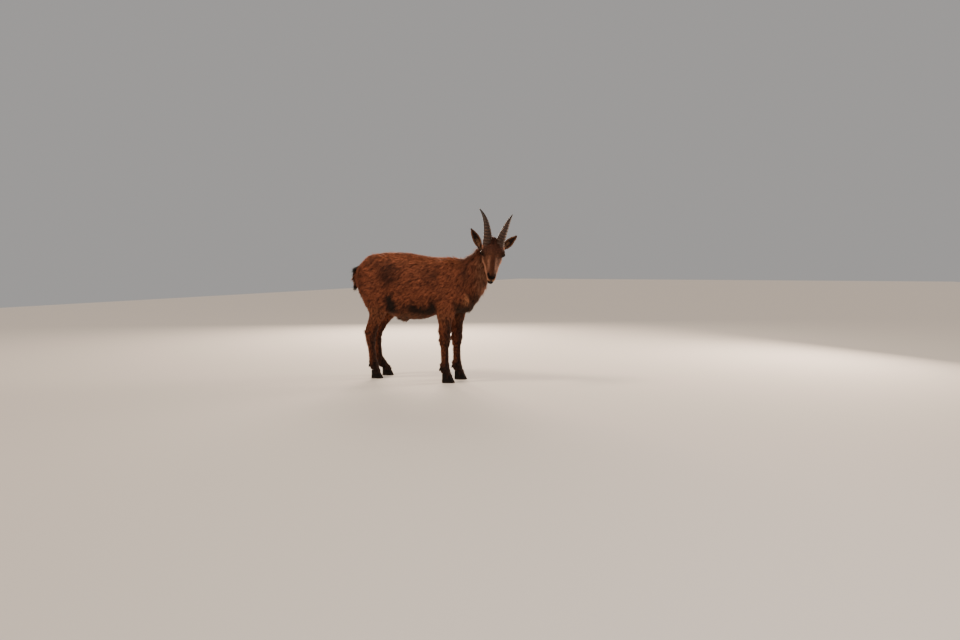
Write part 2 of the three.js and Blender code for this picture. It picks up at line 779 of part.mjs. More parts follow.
// Places where locks grow: rows along a line, each with rays turned round it, staggered and uneven
function rootsAround(line, field, { rows, spacing, from, to, seed, reach }) {
  const random = randomFrom(seed);
  const rootAt = (t, turn) => {
    const frame = frameOn(line, clamp(t, 0, 1));
    return rayEnd(frame.from, rayDirection(frame, turn, capTilt(t)), field, reach, 0);
  };
  const roots = [];
  for (let i = 0; i < rows; i += 1) {
    const middle = mix(from, to, (i + 0.5) / rows);
    const corners = [0, 1, 2, 3, 4, 5].map((k) => rootAt(middle, (Math.PI * k) / 3));
    const girth = corners.reduce((sum, p, k) => sum + p.distanceTo(corners[(k + 1) % 6]), 0);
    const count = Math.max(3, Math.round(girth / spacing));
    for (let j = 0; j < count; j += 1) {
      const t = middle + (0.3 * (random() - 0.5) * (to - from)) / rows;
      const turn = (2 * Math.PI * (j + 0.5 * (i % 2) + 0.3 * (random() - 0.5))) / count;
      const swing = degrees(24 * (random() - 0.5));
      roots.push({ root: rootAt(t, turn), swing, size: mix(0.85, 1.15, random()) });
    }
  }
  return roots;
}

function insideOutline(outline, x, z) {
  return outline.every(([x0, z0], i) => {
    const [x1, z1] = outline[(i + 1) % outline.length];
    return (x1 - x0) * (z - z0) - (z1 - z0) * (x - x0) >= 0;
  });
}

// The node that a place on the body belongs to
function regionOf({ x, y, z }) {
  const leg = LEGS.find(
    ({ area, side }) => side * y > Math.abs(area.from) && insideOutline(area.outline, x, z),
  );
  if (leg) return leg.name;
  const fromCut = vec(NECK_CUT.normal).dot(new THREE.Vector3(x, y, z).sub(vec(NECK_CUT.point)));
  return fromCut > 0 ? "neck" : "torso";
}

// Locks by node. One that would leave its node's region is made shorter, or left out.
function locksOn(field, roots, width, region = regionOf) {
  const locks = {};
  for (const { root, swing, size } of roots) {
    const lie = (place) => coatLie(place).applyAxisAngle(normalAt(field, place), swing);
    const home = region(root);
    for (const share of [1, 0.75, 0.55]) {
      const path = pathOver(field, root, lie, LOCK_LENGTH * size * share, 3);
      const stays = path.every(({ place }) => region(place) === home);
      const turns = path.some(({ normal }, i) => i > 0 && normal.dot(path[i - 1].normal) < 0.86);
      if (!stays || turns || home === "none") continue;
      const lift = LOCK_LIFT * size;
      const lock = lockShape(path, { width: width * size, thick: LOCK_THICK, lift, rooted: LOCK_ROOT });
      locks[home] = [...(locks[home] ?? []), lock];
      break;
    }
  }
  return locks;
}

const clearOfTail = (place) => (tailField(...place.toArray()) < 26 ? "none" : regionOf(place));
const trunkRoots = rootsAround(TRUNK_LINE, bodyField, {
  rows: 9,
  spacing: 76,
  from: -0.22,
  to: 1.2,
  seed: 3,
  reach: 260,
});
const neckRoots = rootsAround(NECK_LINE, bodyField, {
  rows: 4,
  spacing: 58,
  from: 0.16,
  to: 0.94,
  seed: 8,
  reach: 200,
});
const trunkLocks = locksOn(bodyField, trunkRoots, 78, clearOfTail);
const neckLocks = locksOn(bodyField, neckRoots, 62);
const locksFor = (name) => [...(trunkLocks[name] ?? []), ...(neckLocks[name] ?? [])];

// Legs, from the body down
for (const leg of LEGS) {
  const { outline, from, to } = leg.area;
  const coat = leg.fore ? [] : locksFor(leg.name);
  const whole = thinned(joined([leg.solid, coreSolid, ...coat]), 1).intersect(block(outline, from, to));
  const knee = { normal: [0, 0, 1], point: [0, 0, leg.knee] };
  const [clawX, clawY, size] = leg.claws;
  const coronet = { normal: [-0.3, 0, 1], point: [clawX + 10, 0, 38 * size] };
  const middle = leg.fore ? ELBOW : STIFLE;
  addNode(`${leg.name}_${leg.fore ? "arm" : "thigh"}`, beyond(whole, middle), "coat");
  const lower = beyond(before(leg.solid, middle), knee);
  addNode(`${leg.name}_${leg.fore ? "forearm" : "gaskin"}`, lower, "coat");
  addNode(`${leg.name}_shank`, beyond(before(leg.solid, knee), FETLOCK), "darkCoat");
  const ankle = thinned(joined([leg.solid, dewclawShape(...leg.dewclaws)]));
  addNode(`${leg.name}_pastern`, beyond(before(ankle, FETLOCK), coronet), "darkCoat");
  for (const [place, side] of [
    ["outer", leg.side],
    ["inner", -leg.side],
  ]) {
    addNode(`${leg.name}_claw_${place}`, before(clawShape(clawX, clawY, side, size), coronet), "hoof");
  }
}

const creases = [1, -1].flatMap((side) => [
  solidOf(taperedTube(NOSTRIL.map((p) => onSide(p, side)), 6.2)),
  solidOf(taperedTube(LIP_CREASE.map((p) => onSide(p, side)), 2.6)),
  eyeball(side, EYE_RADIUS + GAP),
]);
const wholeHead = joined([headShape(0), ...[1, -1].map(lidShape)]).subtract(joined(creases));
const grownHead = toWorld(headShape(GAP));

const legBlocks = joined(LEGS.map(({ area }) => block(area.outline, area.from, area.to, GAP)));
const bodySolid = thinned(joined([coreSolid, ...locksFor("torso")]), 1);
addNode("torso", before(bodySolid, NECK_CUT).subtract(legBlocks), "coat");
const maneSolid = thinned(joined([coreSolid, ...locksFor("neck")]), 1);
addNode("neck", beyond(maneSolid, NECK_CUT).subtract(grownHead), "coat");
addNode("head", toWorld(beyond(wholeHead, MOUTH)), "coat");
addNode("lower_jaw", toWorld(before(wholeHead, MOUTH)), "coat");
for (const [name, side] of [
  ["left", 1],
  ["right", -1],
]) {
  addNode(`eye_${name}`, toWorld(eyeball(side, EYE_RADIUS)), "eye");
  addNode(`horn_${name}`, toWorld(hornShape(side)).subtract(grownHead), "horn");
  addNode(`ear_${name}`, toWorld(earShape(name, side)).subtract(grownHead), "coat");
}

// The tail's brush: locks that hang down round it
const tailCore = solidOf(
  surfaceAround(TAIL_LINE, tailField, { rings: 6, sides: 8, capRings: 2, reach: 40 }),
);
const brushRoots = rootsAround(TAIL_LINE, tailField, {
  rows: 2,
  spacing: 20,
  from: 0.3,
  to: 1,
  seed: 5,
  reach: 40,
});
const brush = brushRoots.map(({ root, size }) => {
  const lie = ({ z }) => new THREE.Vector3(-0.25, 0, -1).setZ(z > 500 ? -1 : -1.2);
  const path = pathOver(tailField, root, lie, 34 * size, 3);
  return lockShape(path, { width: 20, thick: 6, lift: 9 * size, rooted: 4 });
});
addNode("tail", thinned(joined([tailCore, ...brush])).subtract(trunkShape(GAP)), "darkCoat");

ibex.position.set(-FRAME_ORIGIN[0], -FRAME_ORIGIN[1], 0);
export default ibex;
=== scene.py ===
# A young alpine ibex standing with its head turned to its right.
# Forms are in millimetres in the animal's own frame: +X forward, +Y to its left, +Z up, floor at 0.
# newMesh() turns them into metres in the row frame.
import math
import bmesh
import bpy
import numpy as np
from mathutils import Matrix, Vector


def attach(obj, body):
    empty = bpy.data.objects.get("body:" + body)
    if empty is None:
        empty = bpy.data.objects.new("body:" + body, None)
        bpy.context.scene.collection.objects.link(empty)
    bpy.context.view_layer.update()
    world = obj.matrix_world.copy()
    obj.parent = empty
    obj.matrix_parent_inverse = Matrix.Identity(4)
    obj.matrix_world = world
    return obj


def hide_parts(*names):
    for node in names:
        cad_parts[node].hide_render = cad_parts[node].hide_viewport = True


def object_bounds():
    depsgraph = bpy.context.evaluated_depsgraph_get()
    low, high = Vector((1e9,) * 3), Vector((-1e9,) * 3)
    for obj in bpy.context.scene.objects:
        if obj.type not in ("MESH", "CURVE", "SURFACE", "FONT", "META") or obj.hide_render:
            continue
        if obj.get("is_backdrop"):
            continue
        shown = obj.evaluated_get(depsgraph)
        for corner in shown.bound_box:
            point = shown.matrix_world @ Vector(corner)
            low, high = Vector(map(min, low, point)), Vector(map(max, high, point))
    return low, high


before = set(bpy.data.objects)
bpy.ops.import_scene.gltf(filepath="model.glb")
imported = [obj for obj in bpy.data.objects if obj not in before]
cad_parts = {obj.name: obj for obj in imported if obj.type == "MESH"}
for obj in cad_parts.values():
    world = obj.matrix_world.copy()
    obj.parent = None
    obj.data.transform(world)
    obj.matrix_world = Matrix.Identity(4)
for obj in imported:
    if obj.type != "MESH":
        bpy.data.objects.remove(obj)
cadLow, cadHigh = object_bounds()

frameOrigin = np.array([107.0, -38.0, 0.0])  # where the row frame's origin lies in the animal's frame

# camera, floor and lights
view = {
    "eye": (1.734, -3.737, 0.653),
    "forward": (-0.3575, 0.934),
    "pitch": 4.3,  # degrees below level
    "lens": 27.4,
}
cameraData = bpy.data.cameras.new("camera")
cameraData.lens = view["lens"]
cameraData.sensor_width = 36
cameraData.clip_start, cameraData.clip_end = 0.05, 100
camera = bpy.data.objects.new("camera", cameraData)
bpy.context.collection.objects.link(camera)
camera.location = view["eye"]
level, pitch = view["forward"], math.radians(view["pitch"])
forward = Vector((level[0] * math.cos(pitch), level[1] * math.cos(pitch), -math.sin(pitch)))
camera.rotation_euler = forward.to_track_quat("-Z", "Y").to_euler()
bpy.context.scene.camera = camera

light = {
    "skyColour": (0.90, 0.87, 0.85),
    "skyStrength": 0.42,
    "floorColour": (0.62, 0.60, 0.57),
    "aim": (0, 0, 0.5),
    # kind, place, power, colour, and the sun's width in degrees or a panel's in metres
    "sun": ("SUN", (-1.65, -1.26, 2.66), 2.4, (1.0, 0.76, 0.55), 14),
    "fill": ("AREA", (2.6, -3.0, 1.9), 42, (1.0, 0.93, 0.86), 2.2),
    "rim": ("AREA", (-1.6, 3.0, 1.9), 210, (1.0, 0.76, 0.58), 1.6),
    "edge": ("AREA", (2.4, 2.2, 1.3), 120, (1.0, 0.76, 0.58), 1.2),
}


def newMesh(name, points, faces, smooth=True, uv=None, colours=None, facing=None):
    # points in millimetres, faces as rows of three or four corners. Each point may have a colour
    # and the way it faces, and each corner its place on the OFBake map.
    mesh = bpy.data.meshes.new(name)
    corners = faces.shape[1]
    mesh.vertices.add(len(points))
    mesh.vertices.foreach_set("co", ((points - frameOrigin) * 0.001).astype(np.float32).ravel())
    mesh.loops.add(faces.size)
    mesh.loops.foreach_set("vertex_index", faces.astype(np.int32).ravel())
    mesh.polygons.add(len(faces))
    mesh.polygons.foreach_set("loop_start", np.arange(0, faces.size, corners, dtype=np.int32))
    mesh.update(calc_edges=True)
    mesh.validate()
    if smooth:
        mesh.polygons.foreach_set("use_smooth", np.ones(len(faces), bool))
    if uv is not None:
        layer = mesh.uv_layers.new(name="OFBake")
        layer.data.foreach_set("uv", uv.astype(np.float32).ravel())
    if colours is not None:
        rgba = np.ones((len(colours), 4), np.float32)
        rgba[:, :3] = colours
        mesh.color_attributes.new("hair", "FLOAT_COLOR", "POINT").data.foreach_set("color", rgba.ravel())
    if facing is not None:
        layer = mesh.attributes.new("custom_normal", "FLOAT_VECTOR", "POINT")
        layer.data.foreach_set("vector", facing.astype(np.float32).ravel())
    thing = bpy.data.objects.new(name, mesh)
    bpy.context.collection.objects.link(thing)
    return thing


# forms
# A field is a function of points (n, 3) that is negative inside its form, in millimetres.
trunkSections = np.array([
    # x, top, bottom, half width
    [-352, 642, 530, 34],
    [-322, 674, 482, 72],
    [-270, 702, 438, 95],
    [-215, 717, 404, 104],
    [-145, 722, 372, 108],
    [-70, 720, 351, 115],
    [0, 712, 348, 119],
    [62, 702, 354, 116],
    [136, 693, 378, 106],
    [218, 691, 382, 93],
    [290, 676, 392, 79],
    [336, 636, 402, 60],
    [360, 585, 444, 30],
], float)
bellySag = 0.16


def mix(a, b, t):
    return a + (b - a) * t


def ramp(low, high, value):
    t = np.clip((value - low) / (high - low), 0, 1)
    return t * t * (3 - 2 * t)


def unit(v):
    return v / np.maximum(np.linalg.norm(v, axis=-1, keepdims=True), 1e-9)


def bar(a, b, ra, rb, flat=1.0):
    # rounded bar from a to b, end radii ra and rb, squeezed sideways to flat of its depth
    a, b = np.array(a, float), np.array(b, float)
    squeeze = np.array([1, 1 / flat, 1])
    start, span = a * squeeze, (b - a) * squeeze
    size = max(float(span @ span), 1e-6)

    def field(p):
        q = p * squeeze - start
        t = np.clip(q @ span / size, 0, 1)
        return np.linalg.norm(q - t[:, None] * span, axis=1) - mix(ra, rb, t)
    return field


def mirrored(points, side):
    return np.array(points, float) * [1, side, 1]


def pair(a, b, ra, rb, flat=1.0):
    return [bar(mirrored(a, side), mirrored(b, side), ra, rb, flat) for side in (1, -1)]


def softMin(a, b, rounding):
    h = np.maximum(rounding - np.abs(a - b), 0) / rounding
    return np.minimum(a, b) - h * h * rounding / 4


def softMax(a, b, rounding):
    return -softMin(-a, -b, rounding)


def blend(fields, rounding):
    def field(p):
        d = fields[0](p)
        for other in fields[1:]:
            d = softMin(d, other(p), rounding)
        return d
    return field


def trunk(p):
    # superellipse across each section, sections on a smooth line in x
    s = trunkSections
    x = np.clip(p[:, 0], s[0, 0], s[-1, 0])
    i = np.clip(np.searchsorted(s[:, 0], x, side="right") - 1, 0, len(s) - 2)
    before, a, b, after = s[np.maximum(i - 1, 0)], s[i], s[i + 1], s[np.minimum(i + 2, len(s) - 1)]
    span = (b[:, 0] - a[:, 0])[:, None]
    t = ((x - a[:, 0]) / span[:, 0])[:, None]
    slopeA = (b - before) / (b[:, :1] - before[:, :1]) * span
    slopeB = (after - a) / (after[:, :1] - a[:, :1]) * span
    t2, t3 = t * t, t * t * t
    v = (2 * t3 - 3 * t2 + 1) * a + (-2 * t3 + 3 * t2) * b + (t3 - 2 * t2 + t) * slopeA + (t3 - t2) * slopeB
    top, bottom, half = v[:, 1], v[:, 2], v[:, 3]
    depth = (top - bottom) / 2
    up = (p[:, 2] - (top + bottom) / 2) / depth
    wide = half * (1 - bellySag * np.clip(up, -1, 1))
    share = (np.abs(p[:, 1] / wide) ** 2.25 + np.abs(up) ** 2.25) ** (1 / 2.25)
    size = np.minimum(half, depth)
    return np.hypot(p[:, 0] - x, share * size) - size


shoulders = [
    *pair([212, 50, 618], [290, 62, 485], 56, 56, 0.52),
    *pair([292, 62, 480], [222, 68, 418], 50, 47, 0.62),
    *pair([205, 66, 470], [222, 66, 405], 58, 46, 0.6),
]
haunches = [
    *pair([-228, 52, 628], [-178, 66, 500], 78, 80, 0.56),
    *pair([-292, 42, 592], [-236, 66, 478], 54, 62, 0.6),
    *pair([-150, 72, 500], [-150, 78, 445], 48, 40, 0.55),
]
neckBars = [
    bar([286, 0, 552], [330, 0, 580], 118, 96, 0.68),
    bar([330, 0, 580], [386, -4, 638], 96, 66, 0.8),
    bar([386, -4, 638], [438, -18, 694], 66, 51, 0.92),
    bar([438, -18, 694], [480, -42, 738], 51, 44, 1),
]
sheath = bar([-62, 0, 352], [-84, 0, 350], 14, 9, 0.8)
bodyField = blend([trunk, *shoulders, *haunches, *neckBars, sheath], 30)
neckField = blend([trunk, *neckBars], 34)
trunkField = blend([trunk, *shoulders, *haunches, *neckBars[:2], sheath], 30)

legPlace = {"fore": (215, 72), "hind": (-257, 64)}  # x, and how far out from the middle
lean = {  # height and how far forward a leg stands of its twin
    "fore_left": ([40, 90, 400], [15, 12, 12]),
    "fore_right": ([0, 400], [0, 0]),
    "hind_left": ([40, 76, 104, 200, 262, 310, 400, 450], [2, -20, -29, -29, -25, -19, -6, 0]),
    "hind_right": ([0, 400], [0, 0]),
}


def legFrame(name):
    # whether it is a foreleg, its side, and where it stands
    side = 1 if "left" in name else -1
    x, out = legPlace[name[:4]]
    return "fore" in name, side, x, side * out


def legBars(name):
    fore, side, x0, y0 = legFrame(name)

    def at(dx, out, z):
        return [x0 + dx + float(np.interp(z, *lean[name])), y0 + side * out, z]
    if fore:
        return at, [
            bar(at(14, -4, 440), at(2, 0, 372), 50, 43, 0.66),
            bar(at(2, 0, 372), at(-1, 0, 292), 42, 32, 0.76),
            bar(at(-1, 0, 292), at(0, 0, 248), 31, 28, 0.86),
            bar(at(3, 0, 247), at(1, 0, 222), 27, 25, 0.96),
            bar(at(-7, 0, 240), at(-5, 0, 226), 22, 19, 0.9),
            bar(at(-1, 0, 222), at(1, 0, 104), 21, 20, 0.86),
            bar(at(-2, 0, 92), at(-1, 0, 74), 23, 23, 0.98),
            bar(at(-10, 0, 88), at(-8, 0, 72), 17, 16, 1.15),
            bar(at(2, 0, 76), at(17, 0, 38), 20, 22, 1.06),
        ]
    return at, [
        bar(at(55, 6, 505), at(82, 12, 440), 84, 58, 0.56),
        bar(at(30, 8, 450), at(50, 8, 385), 54, 50, 0.56),
        bar(at(54, 7, 395), at(14, 1, 300), 46, 31, 0.72),
        bar(at(12, 3, 352), at(-20, 0, 274), 13, 12, 0.8),
        bar(at(14, 1, 300), at(4, 0, 256), 30, 25, 0.84),
        bar(at(-24, 0, 268), at(-8, 0, 226), 13, 17, 0.95),
        bar(at(2, 0, 246), at(3, 0, 205), 23, 20, 0.9),
        bar(at(1, 0, 215), at(14, 0, 104), 20, 19, 0.88),
        bar(at(17, 0, 90), at(20, 0, 74), 22, 22, 0.98),
        bar(at(9, 0, 88), at(12, 0, 72), 16, 15, 1.15),
        bar(at(23, 0, 76), at(37, 0, 38), 19, 21, 1.06),
    ]


legNames = ["fore_left", "fore_right", "hind_left", "hind_right"]
legLines, legFields = {}, {}
for legName in legNames:
    at, bars = legBars(legName)
    legFields[legName] = blend(bars, 14)
    foreLine = [(12, 430), (0, 350), (0, 240), (0, 90), (16, 44)]
    hindLine = [(58, 500), (52, 410), (14, 300), (2, 240), (18, 90), (36, 44)]
    legLines[legName] = [at(x, 0, z) for x, z in (foreLine if "fore" in legName else hindLine)]

# Head frame: +X along the muzzle, +Y to the animal's left, +Z out of the forehead
headPlace = {"origin": (490, -50, 788), "turn": -66, "pitch": 48.5, "roll": 5.2}


def turned(axis, degrees):
    c, s = math.cos(math.radians(degrees)), math.sin(math.radians(degrees))
    return np.array({
        "x": [[1, 0, 0], [0, c, -s], [0, s, c]],
        "y": [[c, 0, s], [0, 1, 0], [-s, 0, c]],
        "z": [[c, -s, 0], [s, c, 0], [0, 0, 1]],
    }[axis])


headTurn = turned("z", headPlace["turn"]) @ turned("x", -headPlace["roll"])
headTurn = headTurn @ turned("y", headPlace["pitch"])
headOrigin = np.array(headPlace["origin"], float)


def toHead(p):
    return (p - headOrigin) @ headTurn


def fromHead(p):
    return p @ headTurn.T + headOrigin


headForm = blend([
    bar([32, 0, -8], [72, 0, 9], 36, 45, 1.2),
    bar([52, 0, 22], [104, 0, 8], 34, 34, 1.5),
    *pair([80, 30, 16], [105, 43, 11], 27, 20),
    *pair([100, 34, 1], [164, 19, -15], 23, 18),
    bar([106, 0, 10], [232, 0, -16], 28, 15),
    bar([104, 0, -12], [196, 0, -26], 44, 30, 0.95),
    bar([196, 0, -28], [238, 0, -30], 28, 23, 1.05),
    bar([234, 0, -20], [245, 0, -24], 17, 13.5, 1.25),
    *pair([212, 10, -40], [243, 5, -40], 14, 11.5),
    *pair([56, 26, -26], [118, 27, -34], 32, 26),
    *pair([112, 24, -30], [188, 14, -35], 25, 19),
    *pair([64, 28, -48], [122, 20, -58], 20, 17),
    *pair([122, 20, -58], [206, 8, -60], 17, 13),
    bar([204, 0, -61], [236, 0, -67], 15.5, 14.5, 1.15),
], 12)
headLine = [[24, 0, 0], [90, 0, -10], [160, 0, -24], [230, 0, -34]]
eyeCentre = np.array([106, 51, 10.0])
eyeLook = {"look": (0.5, 0.79, 0.30), "front": (0.84, -0.52, 0.02)}


def tube(points, radii):
    # short bars end to end
    return blend([bar(*ends) for ends in zip(points[:-1], points[1:], radii[:-1], radii[1:])], 1.5)


def eyeFrame(side):
    look = unit(mirrored(eyeLook["look"], side))
    front = mirrored(eyeLook["front"], side)
    front = unit(front - (front @ look) * look)
    over = np.cross(look, front)
    return mirrored(eyeCentre, side), look, front, over * np.sign(over[2])


nostril = [[228, 22, -6], [236, 21, -9], [244, 17, -13], [251, 11, -19], [255, 6, -25]]
nostrilRadii = [1.5, 4.2, 5.0, 3.8, 1.2]
mouthLine = [
    [178, 32, -58], [196, 29, -56.5], [214, 25, -54],
    [232, 18, -51], [246, 10, -49], [254, 0, -48],
]
mouthRadii = [0.6, 2.0, 2.6, 2.8, 2.8, 2.6]
philtrum = [[257, 0, -26], [258, 0, -36], [255, 0, -46]]
philtrumRadii = [1.0, 1.8, 2.0]


def headDetail(q):
    d = headForm(q)
    for side in (1, -1):
        d = softMax(d, -tube(mirrored(nostril, side), nostrilRadii)(q), 3)
        d = softMax(d, -tube(mirrored(mouthLine, side), mouthRadii)(q), 3)
    return softMax(d, -tube(philtrum, philtrumRadii)(q), 2)


def headField(p):
    return headDetail(toHead(p))


tailLine = [[-340, 0, 636], [-372, 0, 622], [-384, 0, 580], [-383, 0, 536]]
tailField = blend([
    bar(tailLine[0], tailLine[1], 18, 16, 1.1),
    bar(tailLine[1], tailLine[2], 15, 12, 1.2),
    bar(tailLine[2], tailLine[3], 12, 7, 1.2),
], 8)


def skinField(p):
    d = bodyField(p)
    for legName in legNames:
        d = softMin(d, legFields[legName](p), 18)
    d = softMin(d, tailField(p), 10)
    near = np.linalg.norm(p - fromHead(np.array([130.0, 0, -20])), axis=1) < 230
    if near.any():
        d[near] = softMin(d[near], headField(p[near]), 12)
    return d


# surfaces round a line
def cubic(a, b, c, d, u):
    # Catmull-Rom from b to c
    start = 2 * b + (c - a) * u + (2 * a - 5 * b + 4 * c - d) * u ** 2
    return 0.5 * (start + (3 * b - a - 3 * c + d) * u ** 3)


def smoothLine(points, t):
    # smooth line through the points, t from 0 to 1
    p = np.array(points, float)
    p = np.vstack([2 * p[0] - p[1], p, 2 * p[-1] - p[-2]])
    spans = len(p) - 3
    i = np.clip((t * spans).astype(int), 0, spans - 1)
    return cubic(p[i], p[i + 1], p[i + 2], p[i + 3], (t * spans - i)[:, None])


def frameAlong(points, t):
    step = 0.01
    way = unit(smoothLine(points, np.clip(t + step, 0, 1)) - smoothLine(points, np.clip(t - step, 0, 1)))
    left = unit(np.array([0, 1.0, 0]) - way[:, 1:2] * way)
    return smoothLine(points, t), way, left, np.cross(way, left)


def closedGrid(rows, start, end):
    # rows (r, s, 3) joined round, with a point at each end
    r, s = rows.shape[:2]
    points = np.vstack([rows.reshape(-1, 3), start[None], end[None]])
    i, j = np.meshgrid(np.arange(r - 1), np.arange(s), indexing="ij")
    k = (j + 1) % s
    quads = np.stack([i * s + j, i * s + k, (i + 1) * s + k, (i + 1) * s + j], -1).reshape(-1, 4)
    j = np.arange(s)
    k = (j + 1) % s
    first = np.stack([np.full(s, r * s), k, j], -1)
    last = np.stack([np.full(s, r * s + 1), (r - 1) * s + j, (r - 1) * s + k], -1)
    faces = np.vstack([quads[:, [0, 1, 2]], quads[:, [0, 2, 3]], first, last])
    a, b, c = (points[faces[:, n]] for n in range(3))
    if np.einsum("ij,ij->", a, np.cross(b, c)) < 0:
        faces = faces[:, ::-1]
    return points, faces


def surfaceAround(line, field, rings, sides, capRings, reach):
    # rays across the line and past its ends, each as long as the field is negative
    t = np.concatenate([np.zeros(capRings), np.linspace(0, 1, rings + 1), np.ones(capRings)])
    tilts = np.concatenate([-np.arange(capRings, 0, -1), np.zeros(rings + 1), np.arange(1, capRings + 1)])
    tilts = tilts / (capRings + 1) * math.pi / 2
    origin, way, left, up = frameAlong(line, t)
    turn = np.linspace(0, 2 * math.pi, sides, endpoint=False)
    flatWay = up[:, None] * np.cos(turn)[None, :, None] + left[:, None] * np.sin(turn)[None, :, None]
    direction = flatWay * np.cos(tilts)[:, None, None] + way[:, None] * np.sin(tilts)[:, None, None]
    start = np.broadcast_to(origin[:, None], direction.shape).reshape(-1, 3)
    ends = np.vstack([start, origin[:1], origin[-1:]])
    direction = np.vstack([direction.reshape(-1, 3), -way[:1], way[-1:]])
    radii = np.linspace(0, reach, 41)[1:]
    probe = (ends[:, None] + direction[:, None] * radii[None, :, None]).reshape(-1, 3)
    outside = field(probe).reshape(len(ends), -1) > 0
    hit = np.where(outside.any(1), outside.argmax(1), len(radii) - 1)
    far = radii[hit]
    near = far - reach / 40
    for _ in range(9):
        middle = (near + far) / 2
        out = field(ends + direction * middle[:, None]) > 0
        far, near = np.where(out, middle, far), np.where(out, near, middle)
    found = ends + direction * np.maximum(near, 0.5)[:, None]
    return closedGrid(found[:-2].reshape(len(t), sides, 3), found[-2], found[-1])


# skin
skinSizes = {
    "voxel": 0.0045,
    "under": 2.0,  # how deep the skin lies under the forms
    "fitRounds": 5,
    "smoothRounds": 3,
    "lowest": 30,
}
trunkLine = [[-318, 0, 590], [-200, 0, 562], [0, 0, 535], [200, 0, 535], [330, 0, 545]]
neckLine = [[330, 0, 560], [394, -6, 640], [442, -24, 706], [474, -40, 744]]
parts = [
    surfaceAround(trunkLine, trunkField, 60, 56, 8, 260),
    surfaceAround(neckLine, neckField, 24, 44, 6, 200),
    surfaceAround(tailLine, tailField, 16, 16, 4, 40),
]
for legName in legNames:
    parts.append(surfaceAround(legLines[legName], legFields[legName], 60, 28, 5, 120))
headPoints, headFaces = surfaceAround(headLine, headForm, 50, 44, 8, 120)
parts.append((fromHead(headPoints), headFaces))


def joinArrays(several):
    counts = np.cumsum([0] + [len(p) for p, _ in several])
    points = np.vstack([p for p, _ in several])
    faces = np.vstack([f + n for (_, f), n in zip(several, counts)])
    return points, faces


def meshArrays(mesh):
    points = np.empty(len(mesh.vertices) * 3, np.float32)
    mesh.vertices.foreach_get("co", points)
    return points.reshape(-1, 3).astype(float) * 1000 + frameOrigin


rough = newMesh("rough", *joinArrays(parts), smooth=False)
remesh = rough.modifiers.new("remesh", "REMESH")
remesh.mode = "VOXEL"
remesh.voxel_size = skinSizes["voxel"]
skinMesh = bpy.data.meshes.new_from_object(rough.evaluated_get(bpy.context.evaluated_depsgraph_get()))
bpy.data.objects.remove(rough)
print("skin: joined forms", len(skinMesh.polygons))

# finer faces on the head
shape = bmesh.new()
shape.from_mesh(skinMesh)
shape.verts.ensure_lookup_table()
where = np.array([v.co for v in shape.verts]) * 1000 + frameOrigin
inHead = toHead(where)
onFace = (inHead[:, 0] > 40) & (headForm(inHead) < 9)
edges = [e for e in shape.edges if onFace[e.verts[0].index] and onFace[e.verts[1].index]]
bmesh.ops.subdivide_edges(shape, edges=edges, cuts=1, use_grid_fill=True)
bmesh.ops.triangulate(shape, faces=[f for f in shape.faces if len(f.verts) > 4])
shape.to_mesh(skinMesh)
shape.free()


def slope(field, p, h=0.8):
    # field value and unit outward direction from four corners of a small tetrahedron
    corners = np.array([[1, 1, 1], [1, -1, -1], [-1, 1, -1], [-1, -1, 1]], float)
    values = [field(p + corner * h) for corner in corners]
    way = sum(value[:, None] * corner for value, corner in zip(values, corners))
    return sum(values) / 4, unit(way)


def smoothed(points, edgePairs):
    # each point drawn half way to the mean of its neighbours
    size = len(points)
    degree = np.bincount(edgePairs.ravel(), minlength=size)[:, None]
    total = np.zeros_like(points)
    for a, b in (edgePairs.T, edgePairs.T[::-1]):
        for axis in range(3):
            total[:, axis] += np.bincount(a, weights=points[b, axis], minlength=size)
    return mix(points, total / degree, 0.5)


points = meshArrays(skinMesh)
edgePairs = np.empty(len(skinMesh.edges) * 2, np.int32)
skinMesh.edges.foreach_get("vertices", edgePairs)
edgePairs = edgePairs.reshape(-1, 2)
for step in range(skinSizes["fitRounds"]):
    if step < skinSizes["smoothRounds"]:
        points = smoothed(points, edgePairs)
    distance, normals = slope(skinField, points)
    points -= normals * np.clip(distance + skinSizes["under"], -6, 6)[:, None]
points[:, 2] = np.maximum(points[:, 2], skinSizes["lowest"])

# sockets: skin in front of an eyeball is pushed in under its lids
socket = {"long": 15, "tall": 11, "floor": -9, "brim": 24}
for side in (1, -1):
    centre, look, front, over = eyeFrame(side)
    offset = toHead(points) - centre
    height = offset @ look
    share = np.hypot(offset @ front / socket["long"], offset @ over / socket["tall"])
    limit = mix(socket["floor"], socket["brim"], ramp(0.95, 1.6, share))
    down = np.where((height > -22) & (height < 40) & (share < 1.6), np.minimum(limit - height, 0), 0)
    points += (down[:, None] * look) @ headTurn.T
_, normals = slope(skinField, points)
skinMesh.vertices.foreach_set("co", ((points - frameOrigin) * 0.001).astype(np.float32).ravel())
skinMesh.update()
print("skin: fitted", len(points))


def regionOf(p):
    # where each point belongs: 0 body, 1 to 4 legs, 5 head, 6 tail, and its distance to each of them
    q = toHead(p)
    near = np.stack([bodyField(p), *[legFields[n](p) for n in legNames], headForm(q), tailField(p)])
    near[5] = np.where(q[:, 0] < 14, 1e3, near[5])  # nothing behind the nape is the head's
    # body and tail win where another form is as close
    near[0] -= 3
    near[6] -= 10
    return near.argmin(0), near


# Markings and painted light and shade, as a function of place. Colours are linear.
def srgb(hexColour):
    v = np.array([(hexColour >> s) & 255 for s in (16, 8, 0)]) / 255
    return np.where(v <= 0.04045, v / 12.92, ((v + 0.055) / 1.055) ** 2.4)


